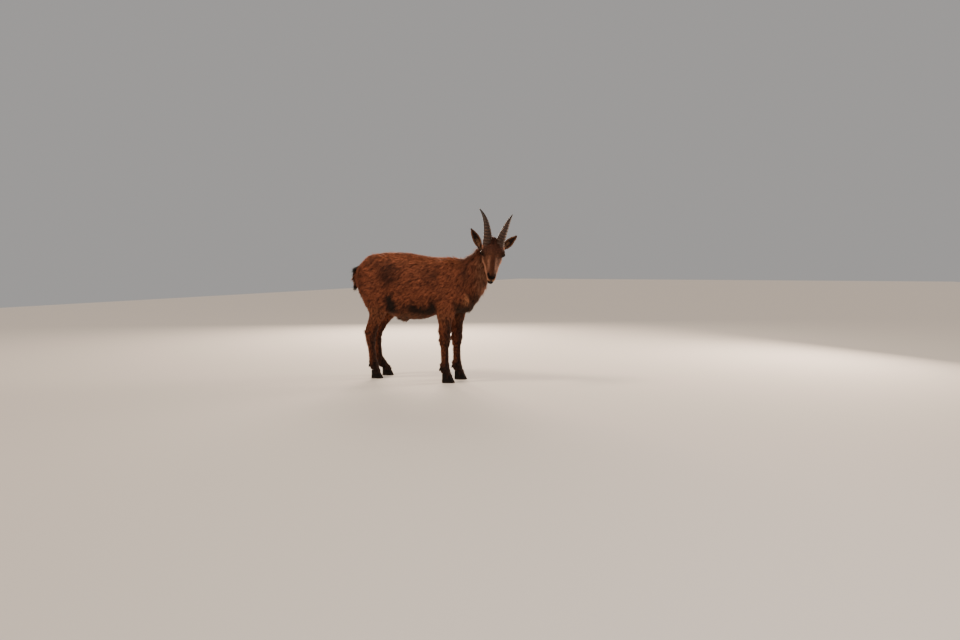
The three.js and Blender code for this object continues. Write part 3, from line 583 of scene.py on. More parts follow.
tones = {
    # painted light: the paler tone of surfaces that face up
    "back": srgb(0x78442d),
    "flank": srgb(0x623523),
    "stripe": srgb(0x1f110a),
    # painted shade, in the flank fold and behind the elbow
    "foldShade": srgb(0x160c08),
    # painted shade in the flank's hollow and behind the shoulder, and also the dark line down the back
    "loin": srgb(0x34190f),
    # painted shade under the belly
    "belly": srgb(0x4a2f20),
    # the dark chest, and also painted shadow on the side of the neck
    "chest": srgb(0x29190f),
    "neck": srgb(0x562f20),
    "throat": srgb(0x604030),
    "tuft": srgb(0x9c6848),
    "rump": srgb(0x562e1f),
    "thigh": srgb(0x623926),
    "legFront": srgb(0x28160e),
    "legSide": srgb(0x5a2f1d),
    "tail": srgb(0x0e0906),
    "fringe": srgb(0x8a5a3c),
    "face": srgb(0x553221),
    "forehead": srgb(0x46261a),
    "eyeRing": srgb(0x1d100a),
    "bridge": srgb(0x472415),
    "cheek": srgb(0xa3725a),
    "lip": srgb(0x9a7050),
    "nose": srgb(0x0c0807),
    "earBack": srgb(0x6b4029),
    "earInside": srgb(0x22140e),
    "earPatch": srgb(0x8a6246),
    "earRim": srgb(0x875a3e),
    "hornCrest": srgb(0x4e3528),
    "hornGroove": srgb(0x20140e),
    "hornBase": srgb(0x40291d),
    "hornTip": srgb(0x1a1310),
    "hoof": srgb(0x130e0b),
    "hoofWorn": srgb(0x2e241d),
}


def lattice(cells, seed):
    # repeatable random number for each whole-number cell
    n = cells[..., 0] * 127.1 + cells[..., 1] * 311.7 + cells[..., 2] * 74.7 + seed * 53.3
    return np.modf(np.abs(np.sin(n) * 43758.5453))[0]


def noise(p, size, seed):
    # smooth random value from -1 to 1, blended between the corners of cells of that size
    q = p / size + 1000
    cell = np.floor(q)
    f = q - cell
    f = f * f * (3 - 2 * f)
    total = 0
    for dx in (0, 1):
        for dy in (0, 1):
            for dz in (0, 1):
                weight = np.abs(1 - dx - f[:, 0]) * np.abs(1 - dy - f[:, 1]) * np.abs(1 - dz - f[:, 2])
                total = total + weight * lattice(cell + [dx, dy, dz], seed)
    return total * 2 - 1


def layered(table, base, count, *layers):
    # rows of the table's base value, with the value of each layer mixed in by its amount, 0 to 1
    rows = np.tile(np.array(table[base]), (count, 1))
    for name, amount in layers:
        rows = mix(rows, np.array(table[name]), np.clip(amount, 0, 1)[:, None])
    return rows


# soft spots, as centre and half size along each axis. Each lies on both sides of the animal.
marks = {
    # the first five spots are painted shade: the flank's hollow, behind the shoulder, the flank fold,
    # behind the elbow and the side of the neck
    "loin": ([-100, 100, 612], [110, 90, 110]),
    "shoulder": ([140, 95, 600], [60, 60, 90]),
    "foldShade": ([-94, 108, 436], [62, 70, 104]),
    "elbowShade": ([160, 96, 430], [34, 60, 80]),
    "neckShadow": ([352, 45, 600], [34, 60, 90]),
    "breastTuft": ([342, 62, 484], [18, 34, 46]),
    "hock": ([-300, 64, 262], [34, 40, 36]),
    "tailRoot": ([-356, 0, 585], [34, 44, 75]),
    # in the head's frame
    "eyeRing": ([108, 54, 8], [50, 28, 34]),
    "overEye": ([86, 56, 27], [18, 17, 10]),
    "eyeCorner": ([124, 44, -4], [14, 15, 9]),
    "brow": ([86, 56, 24], [34, 20, 22]),
    "noseTip": ([254, 0, -18], [24, 21, 20]),
}


def bothSides(p):
    return p * [1, 0, 1] + np.abs(p * [0, 1, 0])


def spot(q, name):
    # 1 in the middle of the mark, 0 beyond its half size
    centre, size = marks[name]
    return ramp(1.0, 0.2, np.linalg.norm((q - np.array(centre)) / np.array(size), axis=1))


def bodyColour(p, n):
    side = bothSides(p)
    x, y, z = side[:, 0], side[:, 1], side[:, 2]
    up = n[:, 2]
    wob = noise(p, 60, 1) * 14 + noise(p, 22, 2) * 6
    ragged = side + (noise(p, 34, 17) * 18 + noise(p, 12, 19) * 10)[:, None]
    # painted shade in the hollow of the flank, its edge ragged and mottled
    loin = spot(ragged, "loin") * (0.75 + 0.5 * noise(p, 34, 9))
    # a dark stripe along the lower flank, ragged towards the thigh
    above, below = ramp(466, 418, z + 1.5 * wob - 8), ramp(368, 400, z + wob)
    stripe = above * below * ramp(200, 150, x) * ramp(-100, 60, x + 2 * wob)
    brisket = np.maximum(ramp(262, 300, x), ramp(200, 240, x) * ramp(72, 52, y))
    grain = 0.2 * noise(p, 45, 3) + 0.18 * noise(p, 16, 4) + 0.3 * noise(p, 9, 18)
    return layered(
        tones, "flank", len(p),
        # painted light: the paler back tone where the skin faces up
        ("back", ramp(0.25, 0.9, up)),
        ("rump", ramp(-200, -320, x + wob) * ramp(720, 560, z)),
        # painted shade in the flank's hollow and behind the shoulder
        ("loin", loin + 0.5 * spot(side, "shoulder")),
        ("stripe", stripe),
        # painted shade in the flank fold in front of the thigh, away from surfaces that face up, and behind
        # the elbow
        ("foldShade", 1.15 * spot(ragged, "foldShade") * ramp(0.5, 0.1, up)),
        ("foldShade", 0.9 * spot(side, "elbowShade")),
        # painted shade along the underside of the belly
        ("belly", 0.9 * ramp(404, 376, z + wob) * ramp(150, 70, x)),
        ("chest", ramp(490, 425, z + wob) * brisket),
        ("chest", 0.8 * ramp(300, 350, x) * ramp(70, 30, y) * ramp(590, 500, z)),
        ("neck", ramp(290, 350, x) * ramp(520, 600, z)),
        # painted shadow on the side of the neck behind the cheek
        ("chest", 0.55 * spot(side, "neckShadow")),
        ("throat", 0.8 * ramp(380, 430, x) * ramp(0.35, -0.3, up)),
        ("loin", 0.6 * ramp(12, 4, y) * ramp(0.5, 0.9, up)),  # the dark line down the back
        ("tuft", 0.55 * spot(side, "breastTuft")),
    ) * (1 + grain)[:, None]


def legColour(p, n):
    side = bothSides(p)
    z, ahead = p[:, 2], n[:, 0]
    wob = noise(p, 30, 5) * 14
    hind = ramp(60, -20, p[:, 0])
    kneeTop, kneeEnd = mix(400, 360, hind), mix(330, 290, hind)
    return layered(
        tones, "legSide", len(p),
        ("thigh", ramp(290, 400, z + wob)),
        ("legFront", 0.85 * ramp(0.0, 0.75, ahead) * ramp(kneeTop, kneeEnd, z + wob)),
        ("legFront", ramp(150, 70, z + wob)),
        ("legFront", spot(side, "hock") + 0.8 * ramp(-0.2, -0.8, ahead) * ramp(120, 90, z)),
        ("cheek", 0.45 * ramp(-0.3, -0.9, ahead) * ramp(110, 150, z) * ramp(330, 250, z) * hind),
    ) * (1 + 0.25 * noise(p, 18, 6))[:, None]


def headColour(q, n):
    # q and n in the head's frame
    side = bothSides(q)
    x, y, z = side[:, 0], side[:, 1], side[:, 2]
    up = n[:, 2]
    groove = tube(philtrum, philtrumRadii)(side) + 1
    slit = np.minimum(tube(nostril, nostrilRadii)(side), groove)
    grain = 0.16 * noise(q, 16, 8) + 0.16 * noise(q, 7, 10)
    return layered(
        tones, "face", len(q),
        ("forehead", ramp(140, 100, x) * ramp(-0.2, 0.5, up)),
        ("throat", ramp(0.0, -0.7, up) * ramp(220, 150, x)),
        # pale bands run from under the eyes to the lips; the pale band beside the bridge of the nose is a
        # painted highlight on the side of the muzzle
        ("cheek", 0.85 * ramp(104, 140, x) * ramp(-10, -26, z + noise(q, 14, 7) * 4) * ramp(-62, -44, z)),
        # painted highlight beside the bridge of the nose
        ("cheek", 0.36 * ramp(135, 175, x) * ramp(222, 206, x) * ramp(9, 17, y) * ramp(27, 19, y)),
        ("bridge", 0.9 * ramp(15, 8, y + noise(q, 12, 7) * 3) * ramp(120, 165, x) * ramp(0.2, 0.6, up)),
        ("eyeRing", 0.9 * spot(side, "eyeRing")),
        ("cheek", 0.9 * spot(side, "overEye")),
        ("cheek", 0.9 * spot(side, "eyeCorner")),
        ("lip", ramp(212, 238, x) * ramp(-27, -34, z) * ramp(-47, -41, z)),
        ("bridge", ramp(150, 200, x) * ramp(-50, -58, z)),
        ("nose", ramp(212, 226, x) * ramp(-40, -46, z) * ramp(-86, -80, z)),  # mouth and chin
        ("nose", ramp(6, 2, slit)),
        ("nose", spot(q, "noseTip")),
        ("nose", ramp(2.5, 0, tube(mouthLine, mouthRadii)(side))),
    ) * (1 + grain)[:, None]


def coatColour(p, n):
    near = regionOf(p)[1]
    colour = bodyColour(p, n)
    leg = ramp(-34, 24, near[0] - near[1:5].min(0)) * ramp(480, 390, p[:, 2])
    colour = mix(colour, legColour(p, n), leg[:, None])
    colour = mix(colour, tones["tail"], ramp(-6, 10, near[0] - near[6])[:, None])
    head = headColour(toHead(p), n @ headTurn)
    return mix(colour, head, ramp(-10, 14, near[0] - near[5])[:, None])


# ears: leaf-shaped shells, rolled at the base and open towards the front, placed in the head's frame
ear = {"width": 40, "thick": 4.4, "roll": 1.3, "rooted": 0.36, "open": (0.6, 0.3, 0.74)}
earPlace = {
    "left": {"side": 1, "root": (44, 64, -4), "reach": (-50, 58, 44)},
    "right": {"side": -1, "root": (44, 70, -10), "reach": (-62, 52, 60)},
}


def earFrame(name):
    # root, length, and the directions to the tip, out of the cup and across
    spec = earPlace[name]
    root, reach = mirrored(spec["root"], spec["side"]), mirrored(spec["reach"], spec["side"])
    length = np.linalg.norm(reach)
    toTip = reach / length
    out = mirrored(ear["open"], spec["side"])
    out = unit(out - (out @ toTip) * toTip)
    return root, length, toTip, out, unit(np.cross(toTip, out))


def earSurface(name, s, u, layer, fill=0.0):
    # s from base to tip, u from -1 to 1 across; layer 1 is the back and -1 the inside.
    # Each section is an arc of radius half / sin(roll), half the leaf's half width there.
    root, length, toTip, out, across = earFrame(name)
    blade = np.clip(s, 0, 1)
    leaf = ear["width"] / 2 * np.sin(math.pi * mix(0.16, 0.985, blade ** 0.85)) ** 0.8
    half = leaf * np.where(s < 0, 1 + 1.2 * s, 1)
    roll = mix(ear["roll"], 0.6, blade)
    radius = half / np.sin(roll)
    thick = mix(ear["thick"] * 1.4, ear["thick"] * 0.5, blade) / 2 * (1 - 0.6 * np.abs(u) ** 3)
    depth = (radius + layer * thick) * np.cos(roll * u) - radius * np.cos(roll)
    filled = depth + 0.35 * radius * np.cos(math.pi / 2 * u)
    depth = depth - fill * np.clip((0.16 - s) / 0.22, 0, 1) * filled
    wide = (radius + layer * thick) * np.sin(roll * u)
    point = root + toTip * (length * s)[..., None] - out * (6 * np.sin(math.pi * blade))[..., None]
    return point + across * wide[..., None] - out * depth[..., None]


def earColour(inside, share, edge):
    # inside is 1 in the cup, share runs from base to tip and edge from the middle to the rim
    return layered(
        tones, "earBack", len(share),
        ("forehead", ramp(0.3, 0.0, share)),
        ("earInside", inside * ramp(1.0, 0.7, edge)),
        ("earPatch", 0.5 * inside * ramp(0.45, 0.25, share) * ramp(0.7, 0.35, edge)),
        ("earRim", ramp(0.78, 1.0, edge) * ramp(-0.05, 0.15, share)),
    )


def earArrays(name):
    rings, half = ((44, 18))
    s = np.linspace(-ear["rooted"], 1, rings + 1)[:, None] * np.ones((1, half + 1))
    u = np.linspace(-1, 1, half + 1)[None] * np.ones((rings + 1, 1))
    rows = np.concatenate([earSurface(name, s, u, 1), earSurface(name, s, -0.97 * u, -1, 1.0)], 1)
    root, length, toTip, *_ = earFrame(name)
    ends = root - toTip * (ear["rooted"] * length + 3), root + toTip * (length + 4)
    points, faces = closedGrid(rows, *ends)
    inside, share, edge = (np.concatenate(two, 1).ravel() for two in ((0 * s, 0 * s + 1), (s, s), (u, -u)))
    colours = earColour(inside, share, np.abs(edge))
    return fromHead(points), faces, np.vstack([colours, tones["forehead"], tones["earRim"]])


# lids: an almond of skin round each eye, from under the face's skin up to a rim on the eyeball
lidRings = np.array([
    # half length, half height, height over the eye's centre at the corners and at the middle
    [25, 22, -8, -4],
    [22.5, 19, -1.5, 4.0],
    [20, 15.5, 4.0, 9.0],
    [17.6, 12.8, 6.0, 12.6],
    [15.6, 10.6, 7.4, 14.4],
    [14.2, 8.8, 8.0, 15.2],
    [13.3, 7.7, 7.6, 14.6],
    [12.6, 7.2, 5.8, 12.6],
    [11.5, 6.5, 3.0, 9.0],
])


def faceHeight(side, along, above):
    # how far out along the look the face lies, at a place along and above the eye's centre
    centre, look, front, over = eyeFrame(side)
    base = centre + front * along[:, None] + over * above[:, None]
    inner, outer = np.full(len(base), -30.0), np.full(len(base), 30.0)
    for _ in range(14):
        middle = (inner + outer) / 2
        out = headForm(base + look * middle[:, None]) + skinSizes["under"] > 0
        inner, outer = np.where(out, inner, middle), np.where(out, middle, outer)
    return inner


lid = {
    "overFace": ([0, 0.125, 0.25], [-2.6, -1.0, 0.3]),  # share of the way in, height over the face
    "creaseDepth": 1.5,
    "creaseShare": 0.44,
    "upperFull": 0.12,
    "darkFrom": 0.5,
    "darkTo": 0.66,
}


def lidArrays(side):
    centre, look, front, over = eyeFrame(side)
    sides = 64
    turn = np.linspace(0, 2 * math.pi, sides, endpoint=False)
    share = np.linspace(0, 1, 41)
    long, tall, corner, middle = (smoothLine(lidRings, share)[:, i:i + 1] for i in range(4))
    # the upper lid is fuller than the lower one, and a crease runs above it
    up = np.sin(turn)[None]
    upper = np.clip(up, 0, 1)
    crease = -lid["creaseDepth"] * np.exp(-((share[:, None] - lid["creaseShare"]) / 0.05) ** 2) * upper
    along, above = long * np.cos(turn), tall * up * (1 + lid["upperFull"] * upper)
    face = faceHeight(side, along.ravel(), above.ravel()).reshape(along.shape)
    face = face + np.interp(share, *lid["overFace"])[:, None]
    height = mix(face, mix(corner, middle, up ** 2) + crease, ramp(0.22, 0.5, share)[:, None])
    rows = centre + front * along[..., None] + over * above[..., None] + look * height[..., None]
    points, faces = closedGrid(rows, centre - look * 10, centre)
    dark = np.repeat(ramp(lid["darkFrom"], lid["darkTo"], share), sides)[:, None]
    fur = headColour(rows.reshape(-1, 3), np.tile(look, (rows.shape[0] * sides, 1)))
    return fromHead(points), faces, np.vstack([mix(fur, tones["nose"], dark), tones["nose"], tones["nose"]])


def triangleArrays(mesh):
    mesh.calc_loop_triangles()
    faces = np.empty(len(mesh.loop_triangles) * 3, np.int32)
    mesh.loop_triangles.foreach_get("vertices", faces)
    return faces.reshape(-1, 3)


# the skin is darker than the hair over it, painted shade under the hair, least on the face where the hair
# is short
shadeUnderHair = {"body": 0.55, "face": 0.85}
_, near = regionOf(points)
shade = mix(shadeUnderHair["body"], shadeUnderHair["face"], ramp(-12, 12, near[0] - near[5]))[:, None]
flesh = [(points, triangleArrays(skinMesh), coatColour(points, normals) * shade)]
lidSkins = [lidArrays(side) for side in (1, -1)]
flesh += [(p, f, c * shadeUnderHair["body"]) for p, f, c in map(earArrays, earPlace)] + lidSkins
skinPoints, skinFaces = joinArrays([(p, f) for p, f, _ in flesh])
skin = newMesh("skin", skinPoints, skinFaces, colours=np.vstack([c for _, _, c in flesh]))
print("skin: triangles", len(skinFaces))

# eyes: a ball with the clear front bulging out over the iris. The map holds each point's place
# across and up the eye, in radii from its middle.
eyeball = {"radius": 14.6, "bulge": 1.6, "bulgeShare": 0.62}


def eyeArrays(side):
    centre, look, front, over = eyeFrame(side)
    rings, sides = 28, 40
    polar = np.linspace(0, math.pi, rings + 2)[1:-1, None]
    turn = np.linspace(0, 2 * math.pi, sides, endpoint=False)[None]
    radius = eyeball["radius"] + eyeball["bulge"] * ramp(eyeball["bulgeShare"], 0.0, polar)
    px, py = np.sin(polar) * np.cos(turn), np.sin(polar) * np.sin(turn)
    way = look * np.cos(polar)[..., None] + front * px[..., None] + over * py[..., None]
    ends = centre + look * (eyeball["radius"] + eyeball["bulge"]), centre - look * eyeball["radius"]
    points, faces = closedGrid(centre + way * radius[..., None], *ends)
    spots = np.vstack([np.stack([px, py], -1).reshape(-1, 2), [0, 0], [0, 0]])
    return fromHead(points), faces, spots


eyes = []
for name, side in (("left", 1), ("right", -1)):
    points, faces, spots = eyeArrays(side)
    eye = newMesh("eye_" + name, points, faces, uv=spots[faces.ravel()])
    eye.data.uv_layers[0].name = "eyeMap"
    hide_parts("eye_" + name)
    eyes.append(eye)

# horns sweep back and outwards on an arc. Rings stand out in front and fade towards the tip.
horn = {
    "left": {"side": 1, "root": (56, 35, 45), "length": 170, "spread": 56, "curl": 1.25},
    "right": {"side": -1, "root": (56, 34, 45), "length": 187, "spread": 56, "curl": 2},
    "leanStart": 30,  # degrees back from the forehead's normal
    "leanEnd": 96,
    "deep": 26,  # half depth and half width at the root
    "wide": 22.5,
    "slender": 1.4,
    "ridges": 9,
    "ridgedShare": 0.72,
    "ridgeHeight": 0.075,
    "rooted": 0.14,  # share of its length that stands in the head
}


def hornLine(name, share):
    # arc whose lean grows evenly with the share of its length, drifting outwards by a power of it
    spec = horn[name]
    start, turn = math.radians(horn["leanStart"]), math.radians(horn["leanEnd"] - horn["leanStart"])
    lean = start + turn * share
    x, y, z = spec["root"]
    back = spec["length"] * (math.cos(start) - np.cos(lean)) / turn
    up = spec["length"] * (np.sin(lean) - math.sin(start)) / turn
    out = y + spec["spread"] * np.maximum(share, 0) ** spec["curl"]
    return np.stack([x - back, spec["side"] * out, z + up], -1)


def hornArrays(name):
    rings, sides = ((300, 48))
    share = np.linspace(-horn["rooted"], 0.985, rings + 1)
    forward = unit(hornLine(name, share + 0.01) - hornLine(name, share - 0.01))
    left = unit(np.array([0, 1.0, 0]) - forward * forward[:, 1:2])
    front = np.cross(left, forward)
    grown = np.maximum(share, 0)[:, None]
    taper = (1 - grown ** horn["slender"]) * 0.93 + 0.07
    turn = np.linspace(0, 2 * math.pi, sides, endpoint=False)[None]
    ridged = np.clip(1 - grown / horn["ridgedShare"], 0, 1) ** 0.35
    # rings bend down on the flanks, and each is a sharp crest over a wide groove
    phase = 2 * math.pi * horn["ridges"] * (share[:, None] + 0.010 * np.cos(turn)) / horn["ridgedShare"]
    phase = phase + 0.5 * np.sin(2.3 * phase / horn["ridges"] * 3 + 1.0)
    crest = (0.5 + 0.5 * np.cos(phase)) ** 1.6 * 2 - 0.8
    fine = 0.12 * np.sin(phase * 5.3) + 0.08 * np.sin(phase * 9.1 + 1.7)
    facingFront = 0.35 + 0.65 * np.clip(np.cos(turn), 0, 1)
    ridge = 1 + horn["ridgeHeight"] * ridged * facingFront * (crest + fine) + 0.012 * fine
    # the front is broad and a little flat, the back narrower
    squared = 1 + 0.05 * np.cos(turn) - 0.05 * np.cos(3 * turn)
    deep = horn["deep"] * taper * ridge * np.cos(turn)
    wide = horn["wide"] * taper * ridge * squared * np.sin(turn)
    middle = hornLine(name, share)[:, None]
    rows = middle + front[:, None] * deep[..., None] + left[:, None] * wide[..., None]
    points, faces = closedGrid(rows, *hornLine(name, np.array([-horn["rooted"], 1.0])))
    flat = rows.reshape(-1, 3)
    worn = noise(flat, 26, 33).reshape(rings + 1, sides)
    pale = 0.38 + 0.3 * crest * ridged * (1 + 0.8 * worn) + fine * 0.8 + 0.2 * worn
    colour = mix(tones["hornGroove"], tones["hornCrest"], np.clip(pale, 0, 1)[..., None])
    colour = mix(colour, tones["hornTip"], (ramp(0.5, 0.9, grown) * 0.85)[..., None])
    colour = mix(colour, tones["hornBase"], (ramp(0.16, 0.0, share) * 0.5)[:, None, None])
    colour = colour * (1 + 0.2 * noise(flat, 9, 31)).reshape(rings + 1, sides, 1)
    colours = np.vstack([colour.reshape(-1, 3), tones["hornBase"], tones["hornTip"]])
    return fromHead(points), faces, colours


horns = []
for name in ("left", "right"):
    points, faces, colours = hornArrays(name)
    piece = newMesh("horn_" + name, points, faces, colours=colours)
    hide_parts("horn_" + name)
    horns.append(piece)
print("horns:", sum(len(h.data.polygons) for h in horns), "faces")

# feet: two claws side by side with flat soles, blunt toes and straight inner walls
claw = {"length": 70, "width": 23, "height": 50, "split": 2.2}
clawOutline = np.array([
    # along and across, as shares of the claw's length and width
    [-0.46, 0.1], [-0.5, 0.5], [-0.38, 0.92], [-0.1, 1.0], [0.2, 0.9],
    [0.42, 0.56], [0.52, 0.16], [0.42, 0.02], [0, 0],
])
clawLevels = np.array([
    # height, length and width as shares of the sole's, and how far back
    [0, 0.95, 0.93, 0],
    [1.2, 0.985, 0.975, 0],
    [4, 1, 1, 0],
    [15, 0.91, 0.985, 2.4],
    [26, 0.82, 0.96, 5],
    [38, 0.72, 0.93, 8.6],
    [45, 0.66, 0.90, 11],
    [50, 0.58, 0.80, 12.5],
])


def closedLine(points, count):
    # smooth closed line through the points
    t = np.linspace(0, len(points), count, endpoint=False)
    i = t.astype(int)
    return cubic(*(points[(i + k) % len(points)] for k in (-1, 0, 1, 2)), (t - i)[:, None])


def clawArrays(x, y, side, size):
    outline = closedLine(clawOutline, 45)
    outline[:, 1] = np.maximum(outline[:, 1], 0)
    levels = smoothLine(clawLevels, np.linspace(0, 1, 40))
    levels[:, 0] = np.linspace(0, 1, 40) * claw["height"]
    for i in (1, 2, 3):
        levels[:, i] = np.interp(levels[:, 0], clawLevels[:, 0], clawLevels[:, i])
    z, long, wide, back = (levels[:, i:i + 1] for i in range(4))
    # low growth rings round the wall
    ring = 1 + 0.008 * np.sin(z * 0.95) * ramp(3, 9, z)
    rows = np.stack([
        x + (outline[None, :, 0] * claw["length"] * long * ring - back) * size,
        y + side * (claw["split"] + outline[None, :, 1] * claw["width"] * wide * ring * size),
        z * size * np.ones((1, len(outline))),
    ], -1)
    return closedGrid(rows, rows[0].mean(0), rows[-1].mean(0))


def dewclawArrays(x, y):
    # a blunt cone hanging behind the fetlock, its tip bent back
    rings, sides = 12, 14
    share = np.linspace(0, 1, rings)[:, None]
    turn = np.linspace(0, 2 * math.pi, sides, endpoint=False)[None]
    radius = 7.4 * (1 - share ** 2.6 * 0.86)
    rows = np.stack([
        x + 6 - 8 * share + radius * np.cos(turn),
        y + radius * 0.95 * np.sin(turn),
        84 - 22 * share + radius * 0.25 * np.cos(turn),
    ], -1)
    return closedGrid(rows, rows[0].mean(0), rows[-1].mean(0))


hooves = []
for legName in legNames:
    fore, side, x0, y0 = legFrame(legName)
    atSole, atDewclaw = (float(np.interp(z, *lean[legName])) for z in (0, 76))
    size = 1 if fore else 0.94
    arrays = [clawArrays(x0 + (21 if fore else 41) + atSole, y0, s, size) for s in (1, -1)]
    arrays += [dewclawArrays(x0 + (-27 if fore else -6) + atDewclaw, y0 + 11 * s) for s in (1, -1)]
    points, faces = joinArrays(arrays)
    shade = mix(tones["hoof"], tones["hoofWorn"], ramp(14, 0, points[:, 2])[:, None] * 0.7)
    shade = shade * (1 + 0.2 * noise(points * [1, 1, 3], 10, 41))[:, None]
    hoof = newMesh("hooves_" + legName, points, faces, colours=shade)
    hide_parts(legName + "_claw_outer", legName + "_claw_inner")
    hooves.append(hoof)

# coat
coat = {
    # length, width and spacing of tufts in millimetres, and how far they stand up, by place
    "flank": (25, 3.1, 3.05, 0.25),
    "back": (24, 2.9, 3.05, 0.36),
    "rump": (27, 3.0, 3.05, 0.34),
    "nape": (37, 3.0, 3.05, 0.46),
    "chest": (24, 3.0, 3.15, 0.22),
    "throat": (33, 3.0, 3.05, 0.36),
    "belly": (23, 3.0, 3.15, 0.28),
    "upperLeg": (17, 2.5, 2.75, 0.2),
    "shank": (12, 1.9, 2.4, 0.4),
    "feather": (17, 1.9, 2.4, 0.44),
    "pastern": (9, 1.8, 2.5, 0.2),
    "face": (6.5, 1.3, 1.8, 0.19),
    "forehead": (13, 1.6, 1.9, 0.34),
    "brow": (11, 1.4, 1.6, 0.5),
    "muzzle": (4.6, 1.15, 1.6, 0.24),
    "tail": (34, 2.4, 2.1, 0.3),
    "clump": 12,  # distance between the clumps that tips gather in
    "gather": 0.55,
    "stray": 0.34,  # how far each clump turns from the lie of the coat
    "curl": 0.096,
    "droop": 0.07,
    "sink": 0.07,
    "bareBelow": 36,  # the hooves begin here
    "guardShare": 0.1,  # long thin hairs that stand further out
    "rootShade": 0.28,  # a tuft is darker at its root, painted shade deep in the coat, and paler at its tip
    "middleShade": 0.85,
    "tipShade": 1.8,
}


def growth(p, n, near):
    # rows of length, width, spacing and lift for each root
    x, z, up = p[:, 0], p[:, 2], n[:, 2]
    q, m = toHead(p), n @ headTurn
    onLeg = ramp(-40, 20, near[0] - near[1:5].min(0))
    rows = layered(
        coat, "flank", len(p),
        ("back", ramp(0.4, 0.9, up)),
        ("rump", ramp(-250, -320, x) * ramp(440, 540, z)),
        ("belly", ramp(-0.3, -0.8, up)),
        ("chest", ramp(180, 230, x) * ramp(500, 420, z)),
        ("throat", ramp(290, 350, x) * ramp(0.4, -0.1, up) * ramp(450, 540, z)),
        ("nape", ramp(180, 330, x) * ramp(0.15, 0.8, up)),
        ("upperLeg", onLeg * ramp(490, 370, z)),
        ("shank", onLeg * ramp(335, 250, z)),
        ("feather", onLeg * ramp(335, 280, z) * ramp(-0.2, -0.8, n[:, 0])),
        ("pastern", onLeg * ramp(112, 96, z) * ramp(0.1, -0.5, n[:, 0])),
        ("shank", spot(p, "tailRoot")),
        ("tail", ramp(-4, 8, near[0] - near[6])),
    )
    head = layered(
        coat, "face", len(p),
        ("forehead", ramp(112, 60, q[:, 0]) * ramp(0.2, 0.8, m[:, 2])),
        ("forehead", 0.6 * ramp(90, 50, q[:, 0]) * ramp(0.2, -0.4, m[:, 2])),
        ("muzzle", ramp(150, 205, q[:, 0])),
        ("brow", spot(bothSides(q), "brow")),
    )
    return mix(rows, head, ramp(-16, 8, near[0] - near[5])[:, None])


def noises(p, size, seeds):
    return np.stack([noise(p, size, seed) for seed in seeds], 1)


def coatLie(p, n, near):
    # the way the hair points, along the skin
    x, z = p[:, 0], p[:, 2]
    steep = np.maximum(0.75 * ramp(240, 330, x), ramp(-240, -320, x))
    way = np.stack([mix(-0.82, -0.34, steep), 0 * x, mix(-0.5, -0.94, steep)], 1)
    onLeg = ramp(-40, 20, near[0] - near[1:5].min(0)) * ramp(520, 380, z)
    way = mix(way, np.array([-0.16, 0, -1.0]), onLeg[:, None])
    way = mix(way, np.array([-0.3, 0, -1.0]), ramp(-4, 8, near[0] - near[6])[:, None])
    q = toHead(p)
    cheek = ramp(0.2, -0.5, (n @ headTurn)[:, 2])
    inFace = np.stack([np.full(len(p), -1.0), 0.25 * np.sign(q[:, 1]), -0.5 * cheek], 1)
    onHead = ramp(-12, 12, near[0] - near[5])
    way = mix(way, inFace @ headTurn.T, onHead[:, None])
    # it wanders in wide and narrow waves, from clump to clump and from tuft to tuft
    loose = mix(1, 0.5, np.maximum(onHead, onLeg))[:, None]
    way = way + 0.34 * loose * noises(p, 55, (11, 12, 13))
    way = way + 0.24 * loose * noises(p, 19, (14, 15, 16))
    clump = clumpCentres(p, coat["clump"])[0] * 0.37
    way = way + coat["stray"] * loose * (2 * np.stack([lattice(clump, s) for s in (24, 25, 26)], 1) - 1)
    way = way + 0.12 * rng.normal(0, 1, p.shape)
    return unit(way - (way * n).sum(1, keepdims=True) * n)


def clumpCentres(p, size):
    # nearest of the scattered points, one to each cell of that size
    cell = np.floor(p / size)
    best, found = np.full(len(p), 1e9), np.zeros_like(p)
    for dx in (-1, 0, 1):
        for dy in (-1, 0, 1):
            for dz in (-1, 0, 1):
                other = cell + [dx, dy, dz]
                centre = other + np.stack([lattice(other, s) for s in (21, 22, 23)], 1)
                distance = np.linalg.norm(centre - p / size, axis=1)
                closer = distance < best
                best = np.where(closer, distance, best)
                found = np.where(closer[:, None], centre, found)
    return found * size, best


# a tuft is two rings of three points and a tip, with a triangle over its root
tuftMap = np.array([[-1, 0], [0, -0.3], [1, 0], [-1, 1.3], [0, 1.1], [1, 1.3], [0, 3]])
tuftPatch = np.array([0.0014, 0.001])  # its size on the map
tuftFaces = []
for k in range(3):
    a, b = k, (k + 1) % 3
    tuftFaces += [[a, b + 3, b], [a, a + 3, b + 3], [a + 3, 6, b + 3]]
tuftFaces = np.array(tuftFaces + [[0, 1, 2]])


